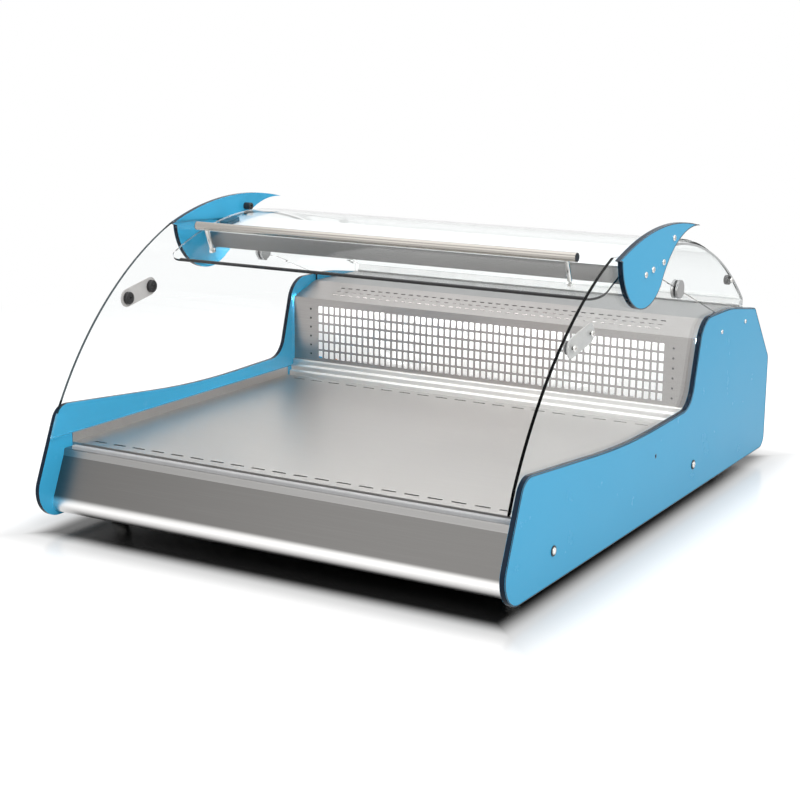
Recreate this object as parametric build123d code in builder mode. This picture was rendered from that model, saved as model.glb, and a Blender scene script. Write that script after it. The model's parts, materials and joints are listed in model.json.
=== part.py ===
from build123d import *
import math
import os

os.makedirs("parts", exist_ok=True)

# Case, in millimetres: X across, Y from the customer to the server, Z up from the floor
case_width = 1000.0
case_depth = 1294.0
panel_thick = 10.0
panel_gap = 25.0
pane_thick = 6.0
pane_gap = 0.3
sheet_thick = 1.5
base_height = 30.0
pan_thick = 2.0
well_floor = 110.0
deck_height = 160.0
curve_gap = 0.3

# Side panels: a leaning front, a low saddle and a tall hump at the back
front_lean = 23.0
nose_radius = 54.0
brow_height = 241.0
brow_radius = 38.0
saddle_height = 201.0
saddle_setback = 497.0
saddle_end_height = 208.0
saddle_radius = 2500.0
hump_height = 380.0
hump_lean = 16.6
hump_foot_radius = 52.0
hump_radius = 60.0
crown_share = 1.6
hump_end_height = 357.0
tail_length = 107.0
tail_height = 233.0
tail_radius = 18.0
heel_radius = 27.0
panel_edge = 1.5

# Roll cover: a curved clear sheet that turns about a line below the floor
axis_setback = 692.0
axis_drop = 115.0
cover_radius = 668.0
cover_thick = 5.0
cover_front_deg = 26.6
cover_rear_deg = 42.0
cover_travel_deg = 39.0
cover_side_gap = 5.0
cover_corner = 30.0
guide_gap = 0.5

# Handle on the roll cover
handle_deg = 22.3
handle_stand = 50.0
handle_inset = 58.0
handle_radius = 8.5
handle_wall = 1.5
cap_depth = 8.0
post_inset = 21.0
post_radius = 4.5
stud_radius = 3.0
nut_radius = 7.0
nut_height = 5.0

# Side panes
pane_rise = 54.0
pane_front_deg = 62.3
pane_top_deg = 21.8
pane_foot = 180.0
seam_top_run = -65.0
seam_foot_run = 265.0
seam_slope = 19.6
seam_gap = 1.0
rear_pane_drop = 3.5
rear_pane_foot = 322.0
rear_pane_end_gap = 2.0
clamp_drop = 94.0
clamp_deg = 5.1
clamp_radius = 18.0
clamp_disc = 6.0
clamp_core = 5.0

# Fins
fin_thick = 10.0
fin_front_rise = 47.6
fin_crown_rise = 38.6
fin_crown_deg = -2.4
fin_tip_rise = 32.0
fin_tip_deg = 10.6
fin_beak = 13.0
lobe_width = 187.0
lobe_drop = 98.0
lobe_rise = 32.0
fin_back_bow = 32.0

# Guides of the roll cover
bracket_thick = 2.5
bracket_rim = 5.5
bracket_disc_radius = 12.5
bracket_outer_deg = -38.6
bracket_inner_deg = -32.8
guide_length = 8.0
fin_disc_radius = 7.5
fin_disc_deg = -0.8
rear_disc_radius = 10.0
rear_disc_deg = 33.0

# Lamp canopy
canopy_drop = 8.0
canopy_front_deg = -14.5
canopy_rear_deg = -3.0
canopy_height = 43.0
canopy_lean = 29.0
canopy_flange = 14.0
canopy_bend = 3.0
end_plate_thick = 3.0
diffuser_thick = 3.0
lamp_board_width = 60.0
lamp_board_thick = 2.5
glide_width = 24.0
glide_length = 40.0

# Apron, lip and deck
lip_ledge = 5.0
lip_depth = 23.0
lip_strip = 13.0
lip_slant = 3.0
apron_roll = 22.0
apron_flange = 60.0
seal_height = 7.0
seal_width = 12.0
seal_end_gap = 6.0
deck_rim = 18.0
deck_slot_length = 30.0
deck_slot_width = 6.0
deck_slot_count = 20
deck_slot_inset = 25.0

# Back wall of the display
grille_setback = 170.0
ledge_depth = 23.0
ledge_rises = (11.0, 23.0)
ledge_height = 35.0
ledge_bend = 2.0
grille_drop = 26.0
hole_margin = 62.0
hole_border = 8.0
hole_pitch_x = 15.0
hole_pitch_z = 20.8
hole_width = 10.5
hole_height = 16.0
hole_corner = 1.2
hole_lift = 16.0
end_hole_radius = 2.5
end_hole_inset = 45.0
duct_depth = 85.0
slot_margin = 82.0
slot_rows = 3
slot_pitch_x = 20.0
slot_pitch_y = 18.0
slot_length = 12.0
slot_width = 4.0
light_strip_depth = 6.0
light_strip_height = 8.0

# Machine space
bulkhead_setback = 115.0
bulkhead_thick = 15.0
fan_plate_setback = 47.0
fan_spacing = 440.0
fan_border = 7.5
fan_depth = 25.0
fan_wall = 3.0
fan_hub = 20.0
fan_shaft = 3.0
fan_shaft_gap = 0.08
fan_blade = 1.6
fan_blades = 7
fan_blade_pitch = 35.0
coil_rows = 6
coil_gap = 6.0
coil_lift = 27.0
coil_depth = 50.0
coil_margin = 15.0
tube_radius = 5.0
fin_plate = 1.0
fin_pitch = 20.0
evaporator_margin = 84.0
evaporator_setback = 60.0
condenser_length = 260.0
condenser_x = 230.0
condenser_inset = 48.0
condenser_fan_size = 190.0
condenser_fan_depth = 38.0
compressor_x = -230.0
compressor_share = 0.26
compressor_height = 180.0
compressor_dome = 35.0
mount_height = 14.0
mount_radius = 10.0
pipe_radius = 4.0
pipe_bend_share = 0.06
liquid_share = 0.12
pipe_side = 45.0

# Rear covers and controls
slope_drop = 13.0
top_drop = 4.0
slope_foot_drop = 2.0
rear_inset = 12.0
rear_flange = 30.0
stop_rail_width = 12.0
stop_rail_height = 25.0
louvre_columns = 5
louvre_inset = 45.0
louvre_edge = 85.0
louvre_rows = 8
louvre_gap = 30.0
louvre_pitch_z = 18.0
louvre_width = 8.0
controller_x = 150.0
controller_width = 80.0
controller_height = 38.0
controller_body_depth = 40.0
bezel_rim = 4.5
bezel_thick = 4.0
lens_width = 44.0
lens_height = 24.0
lens_thick = 2.0
lens_offset = -12.0
button_radius = 4.0
button_offset = 25.0
button_pitch = 10.0
button_proud = 2.0
button_travel = 1.5
button_length = 9.0
switch_x = -150.0
switch_width = 26.0
switch_height = 34.0
switch_body_depth = 25.0
rocker_half = 11.2
rocker_breadth = 14.0
rocker_gap = 0.6
rocker_tilt = 8.0
rocker_pin = 1.5
rocker_pin_gap = 0.08
inlet_inset = 160.0
inlet_height = 90.0
inlet_width = 32.0
inlet_rise = 26.0
inlet_depth = 22.0
inlet_rim = 4.0
inlet_bezel = 3.0
blade_pitch = 6.5
blade_lift = 4.0
blade_thick = 2.0

# Feet, drain and fasteners
foot_x_inset = 60.0
foot_front_inset = 170.0
foot_rear_inset = 110.0
pad_radius = 22.0
pad_height = 12.0
foot_radius = 12.0
drain_setback = 485.0
drain_radius = 14.0
drain_wall = 3.0
drain_flange = 8.0
drain_end = 8.0
fit_gap = 0.2
panel_head = 9.5
fin_head = 6.0
small_head = 4.5
head_height = 3.0
screw_radius = 3.0
small_screw_radius = 2.5
panel_screw_setbacks = (182.0, 843.0)
panel_screw_lift = 54.0
peg_hole_setback = 636.0
peg_hole_lift = 118.0
peg_hole_radius = 2.5
pane_screw_insets = (19.0, 9.0)
pane_screw_lift = 15.0
canopy_screw_steps = (19.0, 54.0, 105.0)
canopy_screw_drop = 17.0
rear_screw_inset = 40.0
rear_screw_shares = (-1.0, -1 / 3, 1 / 3, 1.0)

# Faces and axes that follow from these sizes
half_out = case_width / 2
half_in = half_out - panel_thick
pane_face = half_in - pane_gap - pane_thick
half_clear = pane_face - pane_gap
front = -case_depth / 2
rear = case_depth / 2
axis_y = front + axis_setback
axis_z = -axis_drop
cover_inner = cover_radius - cover_thick / 2
cover_outer = cover_radius + cover_thick / 2
cover_half = half_clear - cover_side_gap
pan_top = base_height + pan_thick
handle_length = 2 * (cover_half - handle_inset)
post_spacing = handle_length - 2 * post_inset
pane_radius = cover_radius + pane_rise
rear_pane_radius = cover_inner - rear_pane_drop
seam_top_y = axis_y + seam_top_run
seam_foot_y = axis_y + seam_foot_run
clamp_orbit = cover_radius - clamp_drop
canopy_radius = cover_radius - canopy_drop
grille_y = axis_y + grille_setback
bulkhead_y = grille_y + bulkhead_setback
bulkhead_rear = bulkhead_y + bulkhead_thick
ledge_top = deck_height + ledge_height
rear_face = rear - rear_inset
bay_depth = rear_face - bulkhead_rear
evaporator_length = 2 * (half_clear - evaporator_margin)
coil_pitch = (ledge_top - coil_gap - coil_margin - coil_lift - pan_top) / (coil_rows - 1)
compressor_radius = compressor_share * bay_depth
compressor_foot = 2 * compressor_radius
pipe_bend = pipe_bend_share * bay_depth
inlet_x = -half_in + inlet_inset
rear_screw_xs = [share * (half_in - rear_screw_inset) for share in rear_screw_shares]


def orbit(radius, degrees):
    """Side point (y, z) at an angle from straight up about the roll axis; rearward is positive."""
    angle = math.radians(degrees)
    return (axis_y + radius * math.sin(angle), axis_z + radius * math.cos(angle))


slope_top = orbit(cover_inner - slope_drop, cover_rear_deg)
top_z = slope_top[1] - top_drop
slope_foot = (rear_face, tail_height - slope_foot_drop)
slope_angle = math.atan2(slope_top[1] - slope_foot[1], slope_foot[0] - slope_top[0])
slope = Plane(
    origin=(0, *slope_top),
    x_dir=(1, 0, 0),
    z_dir=(0, math.sin(slope_angle), math.cos(slope_angle)),
)
slope_normal = Axis((0, 0, 0), slope.z_dir)
slope_start = top_drop / math.sin(slope_angle)
slope_end = math.dist(slope_top, slope_foot)
control_run = (slope_start + slope_end) / 2
bend_y = slope_top[0] + slope_start * math.cos(slope_angle)
rear_panel_top = slope_foot[1] - sheet_thick * math.cos(slope_angle)
top_cover_end = bend_y - sheet_thick * math.sin(slope_angle)
rear_pane_end_y = top_cover_end - rear_pane_end_gap
stop_lean = math.radians(cover_rear_deg) - slope_angle
stop_rail_start = curve_gap + max(0, (slope_drop + cover_thick) * math.sin(stop_lean))
grille_top = top_z - grille_drop
grille_height = grille_top - ledge_top
hole_columns = int((2 * half_clear - 2 * hole_margin) // hole_pitch_x)
hole_rows = int((grille_height - hole_border) // hole_pitch_z)
slot_columns = int((2 * half_clear - 2 * slot_margin) // slot_pitch_x)
fan_size = grille_height - 2 * fan_border


def seam_z(y):
    """Height of the seam between the front and the rear pane."""
    clamp_y, clamp_z = orbit(clamp_orbit, clamp_deg)
    return clamp_z - (y - clamp_y) * math.tan(math.radians(seam_slope))


def block(x, y, z, mode=Mode.ADD):
    """Box between two ends along each axis of the part's own plane."""
    with Locations(((x[0] + x[1]) / 2, (y[0] + y[1]) / 2, (z[0] + z[1]) / 2)):
        return Box(x[1] - x[0], y[1] - y[0], z[1] - z[0], mode=mode)


def side_rods(points, radius, x_low, x_high, mode=Mode.ADD):
    """Round bars or holes along X at points of the side profile."""
    for y, z in points:
        with Locations(Location(((x_low + x_high) / 2, y, z), (0, 90, 0))):
            Cylinder(radius, x_high - x_low, mode=mode)


def upright_rods(points, radius, z_low, z_high, mode=Mode.ADD):
    """Round bars or holes along Z at points of the plan."""
    for x, y in points:
        with Locations((x, y, (z_low + z_high) / 2)):
            Cylinder(radius, z_high - z_low, mode=mode)


def rear_rods(points, radius, y_low, y_high, mode=Mode.ADD):
    """Round bars or holes along Y at points (x, z)."""
    for x, z in points:
        with Locations(Location((x, (y_low + y_high) / 2, z), (90, 0, 0))):
            Cylinder(radius, y_high - y_low, mode=mode)


def bent_sheet(points, bends, half_width):
    """Sheet folded along a side profile, given at the middle of its thickness."""
    with BuildPart() as folded:
        with BuildSketch(Plane.YZ):
            with BuildLine():
                FilletPolyline(*points, radius=bends)
            trace(line_width=sheet_thick)
        extrude(amount=half_width, both=True)
    return folded


def mirrored(piece):
    """Left-hand copy of a right-hand piece."""
    with BuildPart() as copy:
        mirror(piece.part, about=Plane.YZ)
    return copy


def side_screws(points, head, shank, head_x, tip_x):
    """Round-headed screws on both sides of the case, as one group."""
    with BuildPart() as screws:
        side_rods(points, head, head_x, head_x + head_height)
        fillet(screws.faces().sort_by(Axis.X)[-len(points):].edges(), head_height / 3)
        side_rods(points, shank, tip_x, head_x)
        mirror(about=Plane.YZ)
    return screws


def axial_fan(x, y, z, size, depth):
    """Square frame whose spider carries the shaft, and a bladed rotor that turns about Y."""
    spider = fan_wall
    bore = size / 2 - fan_wall
    tip = bore - fan_wall
    with BuildPart() as frame:
        with BuildSketch(Plane.XZ.offset(-y)):
            with Locations((x, z)):
                RectangleRounded(size, size, fan_wall)
                Circle(bore, mode=Mode.SUBTRACT)
        extrude(amount=depth)
        with BuildSketch(Plane.XZ.offset(-y)):
            with Locations((x, z)):
                Rectangle(2 * bore + fan_wall, 2 * fan_wall)
                Rectangle(2 * fan_wall, 2 * bore + fan_wall)
                Circle(fan_hub)
                Circle(fan_shaft + fan_shaft_gap, mode=Mode.SUBTRACT)
        extrude(amount=spider)
    hub_rear = y - spider - 2 * fan_shaft_gap
    hub_length = depth - 2 * spider
    with BuildPart() as rotor:
        with BuildSketch(Plane.XZ.offset(-hub_rear)):
            with Locations((x, z)):
                Circle(fan_hub)
        extrude(amount=hub_length)
        with BuildSketch(Plane.XZ.offset(-y)):
            with Locations((x, z)):
                Circle(fan_shaft)
        extrude(amount=2 * spider)
        blade_length = tip - fan_hub / 2
        for number in range(fan_blades):
            turn = Location((x, hub_rear - hub_length / 2, z), (0, 360 * number / fan_blades, 0))
            reach = Location((fan_hub / 2 + blade_length / 2, 0, 0), (fan_blade_pitch, 0, 0))
            with Locations(turn * reach):
                Box(blade_length, hub_length, fan_blade)
    return frame, rotor


def finned_coil(x, y, length):
    """Plates on a snaking tube; the two end plates stand on the base pan."""
    half = length / 2
    heights = [pan_top + coil_lift + row * coil_pitch for row in range(coil_rows)]
    low = heights[0] - coil_margin
    high = heights[-1] + coil_margin
    plates = int((length - 2 * coil_margin) // fin_pitch) + 1
    first = x - fin_pitch * (plates - 1) / 2
    with BuildPart() as fins:
        for number in range(plates):
            foot = pan_top if number in (0, plates - 1) else low
            with BuildSketch(Plane.YZ.offset(first + number * fin_pitch - fin_plate / 2)):
                with Locations((y, (foot + high) / 2)):
                    Rectangle(coil_depth, high - foot)
                with Locations(*[(y, height) for height in heights]):
                    Circle(tube_radius + curve_gap, mode=Mode.SUBTRACT)
            extrude(amount=fin_plate)
    with BuildPart() as tube:
        with BuildLine(Plane.XZ.offset(-y)) as path:
            for row, height in enumerate(heights):
                end = half if row % 2 == 0 else -half
                Line((x - end, height), (x + end, height))
                if row < coil_rows - 1:
                    bulge = math.copysign(coil_pitch / 2, end)
                    middle = (x + end + bulge, height + coil_pitch / 2)
                    ThreePointArc((x + end, height), middle, (x + end, height + coil_pitch))
        with BuildSketch(Plane(origin=path.line @ 0, z_dir=path.line % 0)):
            Circle(tube_radius)
        sweep()
    return fins, tube, heights


# Side panels
nose_shift = nose_radius / math.tan(math.radians((90 - front_lean) / 2)) - nose_radius
nose_y = front - nose_shift
brow_y = nose_y + (brow_height - panel_gap) * math.tan(math.radians(front_lean))
hump_foot_y = grille_y - ledge_depth * 2
hump_y = hump_foot_y + (hump_height - saddle_end_height) * math.tan(math.radians(hump_lean))
hump_end_y = rear - tail_length
panel_corners = [
    (nose_y, panel_gap, nose_radius),
    (brow_y, brow_height, brow_radius),
    (front + saddle_setback, saddle_height, saddle_radius),
    (hump_foot_y, saddle_end_height, hump_foot_radius),
    (hump_y, hump_height, hump_radius),
    ((hump_y + hump_end_y) / 2, hump_height, crown_share * (hump_end_y - hump_y)),
    (hump_end_y, hump_end_height, tail_radius),
    (rear, tail_height, tail_radius),
    (rear, panel_gap, heel_radius),
]
panel_screw_z = base_height + panel_screw_lift
panel_screw_points = [(front + setback, panel_screw_z) for setback in panel_screw_setbacks]
peg_hole_point = (front + peg_hole_setback, base_height + peg_hole_lift)
pane_screw_z = rear_pane_foot + pane_screw_lift
pane_screw_points = [
    (seam_foot_y + pane_screw_insets[0], pane_screw_z),
    (rear_pane_end_y - pane_screw_insets[1], pane_screw_z),
]

with BuildPart() as right_side_panel:
    with BuildSketch(Plane.YZ.offset(half_in)):
        with BuildLine():
            corners = [(y, z) for y, z, _ in panel_corners]
            FilletPolyline(*corners, radius=[radius for _, _, radius in panel_corners], close=True)
        make_face()
    extrude(amount=panel_thick)
    fillet(right_side_panel.faces().sort_by(Axis.X)[-1].edges(), panel_edge)
    side_rods(panel_screw_points, screw_radius + fit_gap, half_in, half_out, Mode.SUBTRACT)
    side_rods(pane_screw_points, small_screw_radius + fit_gap, half_in, half_out, Mode.SUBTRACT)
    side_rods([peg_hole_point], peg_hole_radius, half_in, half_out, Mode.SUBTRACT)
left_side_panel = mirrored(right_side_panel)

# Lamp canopy, in a plane that follows the tilt of its top
canopy_front = orbit(canopy_radius, canopy_front_deg)
canopy_rear = orbit(canopy_radius, canopy_rear_deg)
canopy_top = math.dist(canopy_front, canopy_rear)
canopy_run = (0, canopy_rear[0] - canopy_front[0], canopy_rear[1] - canopy_front[1])
canopy_plane = Plane(origin=(0, *canopy_front), x_dir=canopy_run, z_dir=(1, 0, 0))
canopy_half = half_clear - end_plate_thick
wall_mid = sheet_thick / 2
canopy_foot = -canopy_height + wall_mid
canopy_path = [
    (canopy_lean + canopy_flange, canopy_foot),
    (canopy_lean, canopy_foot),
    (wall_mid, -wall_mid),
    (canopy_top, -wall_mid),
    (canopy_top, canopy_foot),
    (canopy_top - canopy_flange, canopy_foot),
]
with BuildPart() as lamp_canopy:
    with BuildSketch(canopy_plane):
        with BuildLine():
            FilletPolyline(*canopy_path, radius=canopy_bend)
        trace(line_width=sheet_thick)
    extrude(amount=canopy_half, both=True)


def canopy_point(along, above):
    """Side point (y, z) of a place in the canopy's own plane."""
    point = canopy_plane.from_local_coords(Vector(along, above, 0))
    return (point.Y, point.Z)


canopy_screw_points = [canopy_point(step, -canopy_screw_drop) for step in canopy_screw_steps]

with BuildPart() as canopy_end_plates:
    with BuildSketch(canopy_plane.offset(canopy_half)):
        with BuildLine():
            Polyline(
                (0, 0),
                (canopy_top + wall_mid, 0),
                (canopy_top + wall_mid, -canopy_height),
                (canopy_lean - wall_mid, -canopy_height),
                close=True,
            )
        make_face()
    extrude(amount=end_plate_thick)
    side_rods(canopy_screw_points, screw_radius + fit_gap, canopy_half, half_clear, Mode.SUBTRACT)
    mirror(about=Plane.YZ)

diffuser_low = -canopy_height + sheet_thick
diffuser_inset = canopy_lean + 2 * sheet_thick
with BuildPart(canopy_plane) as lamp_diffuser:
    block((diffuser_inset, canopy_top - 2 * sheet_thick), (diffuser_low, diffuser_low + diffuser_thick),
          (-canopy_half, canopy_half))

lamp_board_mid = (canopy_lean + canopy_top) / 2
with BuildPart(canopy_plane) as lamp_board:
    block((lamp_board_mid - lamp_board_width / 2, lamp_board_mid + lamp_board_width / 2),
          (-sheet_thick - lamp_board_thick, -sheet_thick), (-canopy_half, canopy_half))

chord_radius = canopy_radius * math.cos(math.radians((canopy_rear_deg - canopy_front_deg) / 2))
glide_height = cover_inner - guide_gap - chord_radius
with BuildPart(canopy_plane) as cover_glides:
    for side in (1, -1):
        ends = sorted((side * (cover_half - glide_width), side * cover_half))
        block(((canopy_top - glide_length) / 2, (canopy_top + glide_length) / 2), (0, glide_height), ends)

# Guides of the roll cover, set from its two surfaces
bracket_outer = orbit(cover_outer + guide_gap + bracket_disc_radius, bracket_outer_deg)
bracket_inner = orbit(cover_inner - guide_gap - bracket_disc_radius, bracket_inner_deg)
fin_disc = orbit(cover_outer + guide_gap + fin_disc_radius, fin_disc_deg)
rear_disc = orbit(cover_inner - guide_gap - rear_disc_radius, rear_disc_deg)
bracket_points = [bracket_outer, bracket_inner]
bracket_face = half_clear - bracket_thick
bracket_tip = bracket_face - guide_length
bracket_mid = ((bracket_outer[0] + bracket_inner[0]) / 2, (bracket_outer[1] + bracket_inner[1]) / 2)
bracket_turn = math.degrees(
    math.atan2(bracket_inner[1] - bracket_outer[1], bracket_inner[0] - bracket_outer[0])
)

with BuildPart() as guide_brackets:
    with BuildSketch(Plane.YZ.offset(bracket_face)):
        with Locations(bracket_mid):
            SlotCenterToCenter(math.dist(*bracket_points), 2 * (bracket_disc_radius + bracket_rim),
                               rotation=bracket_turn)
    extrude(amount=bracket_thick)
    side_rods(bracket_points, screw_radius + fit_gap, bracket_face, half_clear, Mode.SUBTRACT)
    mirror(about=Plane.YZ)


def bored_discs(points, radius, x_low, x_high):
    """Round guide buttons on both sides, bored for their screws."""
    with BuildPart() as discs:
        side_rods(points, radius, x_low, x_high)
        fillet(discs.faces().sort_by(Axis.X)[:len(points)].edges(), guide_gap * 4)
        side_rods(points, screw_radius + fit_gap, x_low, x_high, Mode.SUBTRACT)
        mirror(about=Plane.YZ)
    return discs


bracket_discs = bored_discs(bracket_points, bracket_disc_radius, bracket_tip, bracket_face)
rear_discs = bored_discs([rear_disc], rear_disc_radius, bracket_tip, half_clear)
fin_discs = bored_discs([fin_disc], fin_disc_radius, bracket_tip, half_in)
with BuildPart() as guide_discs:
    add(bracket_discs.part)
    add(rear_discs.part)
    add(fin_discs.part)

# Side panes: a front and a rear pane meet at a slanting seam under a round clamp
clamp_point = orbit(clamp_orbit, clamp_deg)
pane_low = orbit(pane_radius, -pane_front_deg)
pane_high = orbit(pane_radius, -pane_top_deg)
pane_bow = orbit(pane_radius, -(pane_front_deg + pane_top_deg) / 2)
pane_toe_y = pane_low[0] - (pane_low[1] - pane_foot) * math.tan(math.radians(front_lean))
seam_half = seam_gap / 2
rear_pane_arc_z = axis_z + math.sqrt(rear_pane_radius**2 - (seam_top_y + seam_gap - axis_y) ** 2)
rear_pane_end_z = axis_z + math.sqrt(rear_pane_radius**2 - (rear_pane_end_y - axis_y) ** 2)

with BuildPart() as right_front_pane:
    with BuildSketch(Plane.YZ.offset(pane_face)):
        with BuildLine():
            ThreePointArc(pane_low, pane_bow, pane_high)
            Polyline(
                pane_high,
                (seam_top_y, rear_pane_arc_z),
                (seam_top_y, seam_z(seam_top_y) - seam_half),
                (seam_foot_y, seam_z(seam_foot_y) - seam_half),
                (seam_foot_y, pane_foot),
                (pane_toe_y, pane_foot),
                pane_low,
            )
        make_face()
    extrude(amount=pane_thick)
    holes = bracket_points + canopy_screw_points
    side_rods(holes, screw_radius + fit_gap, half_clear, half_in, Mode.SUBTRACT)
    side_rods([clamp_point], clamp_core + curve_gap, half_clear, half_in, Mode.SUBTRACT)
left_front_pane = mirrored(right_front_pane)

with BuildPart() as right_rear_pane:
    with BuildSketch(Plane.YZ.offset(pane_face)):
        with BuildLine():
            top_start = (seam_top_y + seam_gap, rear_pane_arc_z)
            top_end = (rear_pane_end_y, rear_pane_end_z)
            RadiusArc(top_start, top_end, rear_pane_radius)
            Polyline(
                top_end,
                (rear_pane_end_y, rear_pane_foot),
                (seam_foot_y + seam_gap, rear_pane_foot),
                (seam_foot_y + seam_gap, seam_z(seam_foot_y + seam_gap) + seam_half),
                (seam_top_y + seam_gap, seam_z(seam_top_y + seam_gap) + seam_half),
                top_start,
            )
        make_face()
    extrude(amount=pane_thick)
    holes = [rear_disc] + canopy_screw_points
    side_rods(holes, screw_radius + fit_gap, half_clear, half_in, Mode.SUBTRACT)
    side_rods(pane_screw_points, small_screw_radius + fit_gap, half_clear, half_in, Mode.SUBTRACT)
    side_rods([clamp_point], clamp_core + curve_gap, half_clear, half_in, Mode.SUBTRACT)
left_rear_pane = mirrored(right_rear_pane)

with BuildPart() as seam_clamps:
    side_rods([clamp_point], clamp_radius, half_in, half_in + clamp_disc)
    side_rods([clamp_point], clamp_radius, half_clear - clamp_disc, half_clear)
    fillet(seam_clamps.edges().filter_by(GeomType.CIRCLE), clamp_disc / 6)
    side_rods([clamp_point], clamp_core, half_clear - clamp_disc, half_in + clamp_disc)
    mirror(about=Plane.YZ)

# Fins: a rounded lobe below, a long bowed back and a crown along the top
fin_front = orbit(cover_radius + fin_front_rise, -pane_top_deg)
fin_crown = orbit(cover_radius + fin_crown_rise, fin_crown_deg)
fin_tip = orbit(cover_radius + fin_tip_rise, fin_tip_deg)
lobe_start = (fin_front[0] + fin_beak, fin_front[1] - fin_beak / 4)
lobe_low = (lobe_start[0] + lobe_width / 2, lobe_start[1] - lobe_drop)
lobe_end = (lobe_start[0] + lobe_width, lobe_start[1] - lobe_drop + lobe_rise)
back_run = math.dist(lobe_end, fin_tip)
back_mid = (
    (lobe_end[0] + fin_tip[0]) / 2 - fin_back_bow * (fin_tip[1] - lobe_end[1]) / back_run,
    (lobe_end[1] + fin_tip[1]) / 2 + fin_back_bow * (fin_tip[0] - lobe_end[0]) / back_run,
)
with BuildPart() as right_fin:
    with BuildSketch(Plane.YZ.offset(half_in)):
        with BuildLine():
            ThreePointArc(fin_front, fin_crown, fin_tip)
            ThreePointArc(fin_tip, back_mid, lobe_end)
            ThreePointArc(lobe_end, lobe_low, lobe_start)
            Line(lobe_start, fin_front)
        make_face()
    extrude(amount=fin_thick)
    side_rods(canopy_screw_points + [fin_disc], screw_radius + fit_gap, half_in, half_out, Mode.SUBTRACT)
left_fin = mirrored(right_fin)

# Roll cover and its handle
with BuildPart() as cover_sheet:
    with BuildSketch(Plane.YZ):
        with BuildLine():
            sweep_deg = cover_rear_deg + cover_front_deg
            under = CenterArc((axis_y, axis_z), cover_inner, 90 - cover_rear_deg, sweep_deg)
            over = CenterArc((axis_y, axis_z), cover_outer, 90 - cover_rear_deg, sweep_deg)
            Line(under @ 0, over @ 0)
            Line(under @ 1, over @ 1)
        make_face()
    extrude(amount=cover_half, both=True)
    end_edges = cover_sheet.faces().sort_by(Axis.Y)[0].edges()
    fillet(end_edges.filter_by(lambda edge: edge.length < 2 * cover_thick), cover_corner)
    post_seat = orbit(cover_radius, -handle_deg)
    for side in (1, -1):
        with Locations(Location((side * post_spacing / 2, *post_seat), (handle_deg, 0, 0))):
            Cylinder(stud_radius + fit_gap, cover_thick * 2, mode=Mode.SUBTRACT)

handle_orbit = cover_outer + handle_stand
handle_centre = orbit(handle_orbit, -handle_deg)
handle_half = handle_length / 2
with BuildPart() as handle_tube:
    side_rods([handle_centre], handle_radius, -handle_half, handle_half)
    side_rods([handle_centre], handle_radius - handle_wall, -handle_half, handle_half, Mode.SUBTRACT)

with BuildPart() as handle_caps:
    side_rods([handle_centre], handle_radius, handle_half, handle_half + handle_wall)
    fillet(handle_caps.edges().sort_by(Axis.X)[-1], handle_wall / 2)
    plug = handle_radius - handle_wall - curve_gap
    side_rods([handle_centre], plug, handle_half - cap_depth, handle_half)
    mirror(about=Plane.YZ)


def radial_plane(x, radius):
    """Plane square to a radius of the roll axis at the handle's angle."""
    y, z = orbit(radius, -handle_deg)
    return Plane(origin=(x, y, z), x_dir=(1, 0, 0), z_dir=(0, y - axis_y, z - axis_z))


nut_top = cover_inner - curve_gap
with BuildPart() as handle_posts:
    for side in (1, -1):
        with BuildSketch(radial_plane(side * post_spacing / 2, cover_outer + curve_gap / 2)):
            Circle(post_radius)
        extrude(amount=handle_stand)
        with BuildSketch(radial_plane(side * post_spacing / 2, nut_top - nut_height)):
            Circle(stud_radius)
        extrude(amount=nut_height + cover_thick + 2 * curve_gap)
    side_rods([handle_centre], handle_radius + curve_gap / 2, -handle_half, handle_half, Mode.SUBTRACT)

with BuildPart() as post_nuts:
    for side in (1, -1):
        with BuildSketch(radial_plane(side * post_spacing / 2, nut_top - nut_height)):
            RegularPolygon(nut_radius, 6)
            Circle(stud_radius + fit_gap, mode=Mode.SUBTRACT)
        extrude(amount=nut_height)

# Apron with a folded lip, on which the closed cover comes down
closed_deg = cover_front_deg + cover_travel_deg
closed_y, closed_z = orbit(cover_inner, -closed_deg)
seal_top = closed_z - guide_gap
lip_z = seal_top - seal_height
lip_y = closed_y - cover_thick - lip_ledge
well_front = lip_y + lip_depth
strip_foot = (lip_y - lip_slant, lip_z - lip_strip)
apron_foot_z = base_height + wall_mid
apron_foot_y = strip_foot[0] - (strip_foot[1] - apron_foot_z) * math.tan(math.radians(front_lean))
pan_front = apron_foot_y + apron_flange
front_apron = bent_sheet(
    [
        (well_front, lip_z - wall_mid),
        (lip_y, lip_z - wall_mid),
        strip_foot,
        (apron_foot_y, apron_foot_z),
        (pan_front, apron_foot_z),
    ],
    [canopy_bend, canopy_bend, apron_roll],
    half_in,
)

with BuildPart() as lip_seal:
    seal_y = closed_y - cover_thick / 2
    block((-cover_half + seal_end_gap, cover_half - seal_end_gap),
          (seal_y - seal_width / 2, seal_y + seal_width / 2), (lip_z, seal_top))
    fillet(lip_seal.faces().sort_by(Axis.Z)[-1].edges().filter_by(Axis.X), seal_height / 3)

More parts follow.
